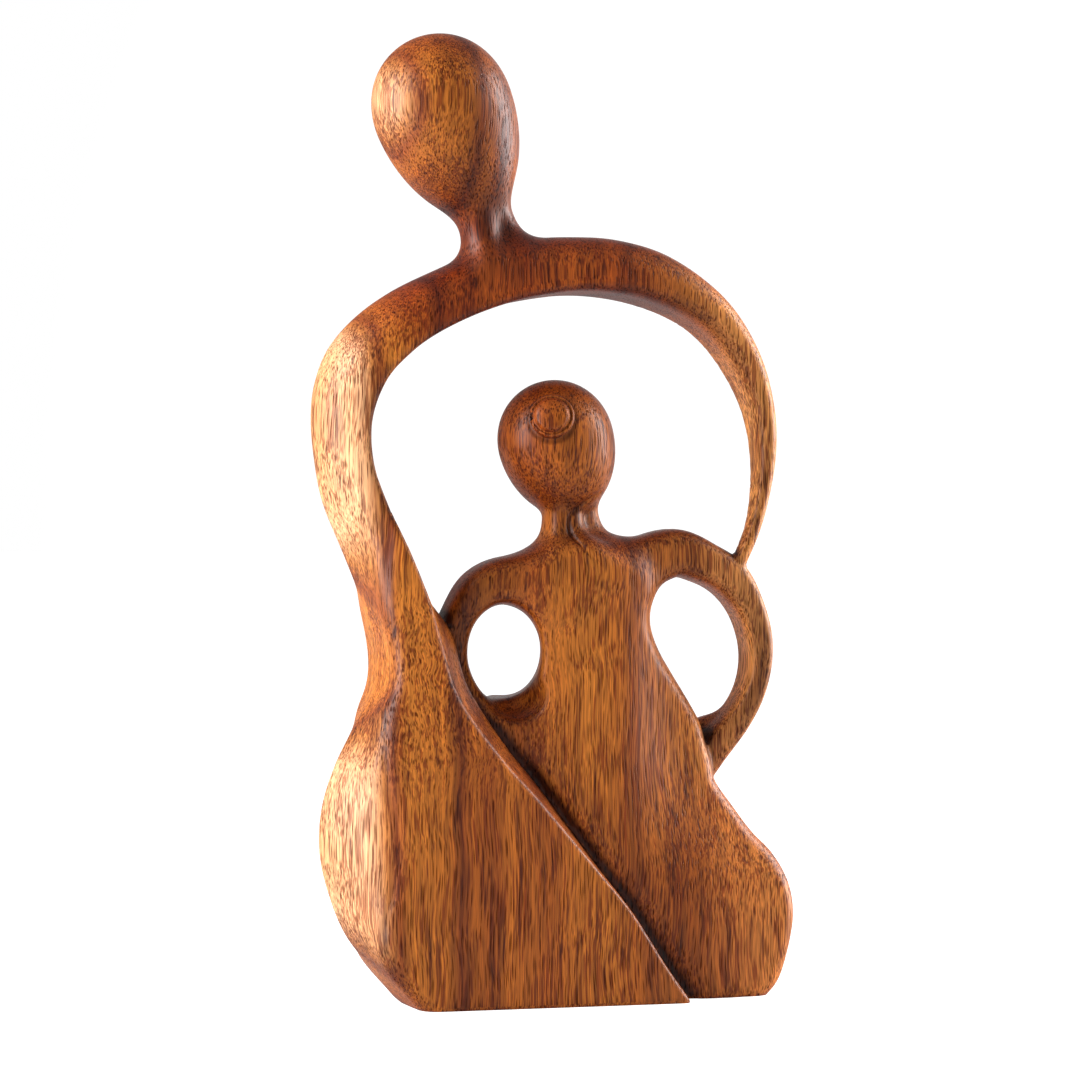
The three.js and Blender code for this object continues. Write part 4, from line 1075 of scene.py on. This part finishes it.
shader = add(tree, "ShaderNodeBsdfPrincipled", {
    "Base Color": with_crease_shade.outputs[2], "Roughness": roughness, "IOR": 1.5, "Normal": bump,
    "Specular IOR Level": shine,
    "Coat Weight": WAX_FILM["weight"], "Coat Roughness": WAX_FILM["roughness"],
})
add(tree, "ShaderNodeOutputMaterial", {"Surface": shader.outputs["BSDF"]})
mesh.materials.append(wood)
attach(carving, "root")
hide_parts(NODE)
print("finish", wood.name, "with", len(tree.nodes), "nodes")

# %% [markdown]
# ## Table
#
# The carving stands on a sheet of white acrylic that is lit from below. It shows almost white to
# the camera and throws only a little light on the wood, which keeps the ground free of shadow
# and the foot deep in colour.

# %% Table
TABLE_HALF = 40.0
TABLE_COLOUR = "#c8c8c8"
TABLE_GLOW = {"on_the_wood": 0.1, "to_the_camera": 0.9}

table_mesh = bpy.data.meshes.new("table")
square = [(x * TABLE_HALF, y * TABLE_HALF, 0) for x, y in ((-1, -1), (1, -1), (1, 1), (-1, 1))]
table_mesh.from_pydata(square, [], [(0, 1, 2, 3)])
table = bpy.data.objects.new("table", table_mesh)
bpy.context.scene.collection.objects.link(table)
acrylic = bpy.data.materials.new("white_acrylic_lit_from_below")
acrylic.use_nodes = True
acrylic.node_tree.nodes.clear()
sheet = add(acrylic.node_tree, "ShaderNodeBsdfPrincipled", {
    "Base Color": light_value(TABLE_COLOUR), "Roughness": 0.8, "Emission Color": (1, 1, 1, 1),
    "Emission Strength": add(acrylic.node_tree, "ShaderNodeMapRange", {
        "Value": add(acrylic.node_tree, "ShaderNodeLightPath").outputs["Is Camera Ray"],
        3: TABLE_GLOW["on_the_wood"], 4: TABLE_GLOW["to_the_camera"],
    }),
})
add(acrylic.node_tree, "ShaderNodeOutputMaterial", {"Surface": sheet})
table_mesh.materials.append(acrylic)
print("table", 2 * TABLE_HALF, "m")

# %% [markdown]
# ## Room and lights
#
# A tall soft light stands at each side of the carving, and the room round it is dim. Behind it,
# towards the right, the backdrop is bright. So the front looks deep in colour, and the edges get
# a light rim.

# %% Room
BACKDROP = {"direction": (0.5, 0.866, 0), "from": 0.75, "to": 0.97, "dim": 0.34, "bright": 1.1}

room = bpy.data.worlds.new("studio")
room.use_nodes = True
room.node_tree.nodes.clear()
look = add(room.node_tree, "ShaderNodeTexCoord")
backdrop_side = add(room.node_tree, "ShaderNodeVectorMath", {
    0: look.outputs["Generated"], 1: BACKDROP["direction"],
}, operation="DOT_PRODUCT")
backdrop = add(room.node_tree, "ShaderNodeMapRange", {
    "Value": backdrop_side.outputs["Value"],
    1: BACKDROP["from"], 2: BACKDROP["to"], 3: BACKDROP["dim"], 4: BACKDROP["bright"],
}, interpolation_type="SMOOTHSTEP")
path = add(room.node_tree, "ShaderNodeLightPath")
seen = add(room.node_tree, "ShaderNodeMath", {
    0: backdrop, 1: path.outputs["Is Camera Ray"],
}, operation="MAXIMUM")
air = add(room.node_tree, "ShaderNodeBackground", {"Color": (1, 1, 1, 1), "Strength": seen})
add(room.node_tree, "ShaderNodeOutputWorld", {"Surface": air})
bpy.context.scene.world = room
bpy.context.scene.view_settings.view_transform = "Standard"
print("backdrop from", BACKDROP["dim"], "to", BACKDROP["bright"])

# %% Lights
SOFT_LIGHTS = {  # degrees from the front, height, distance, width and height of the box, watts
    "left_softbox": (-85.0, 0.55, 1.2, 0.8, 1.2, 31.0),
    "right_softbox": (93.0, 0.5, 1.3, 0.7, 1.2, 36.0),
}
for name, (turn, tall, distance, width, high, watts) in SOFT_LIGHTS.items():
    light = bpy.data.lights.new(name, "AREA")
    light.shape = "RECTANGLE"
    light.size, light.size_y, light.energy = width, high, watts
    lamp = bpy.data.objects.new(name, light)
    angle = math.radians(turn)
    lamp.location = (distance * math.sin(angle), -distance * math.cos(angle), tall)
    lamp.rotation_euler = (math.pi / 2, 0, angle)
    bpy.context.scene.collection.objects.link(lamp)
print("lights", list(SOFT_LIGHTS))
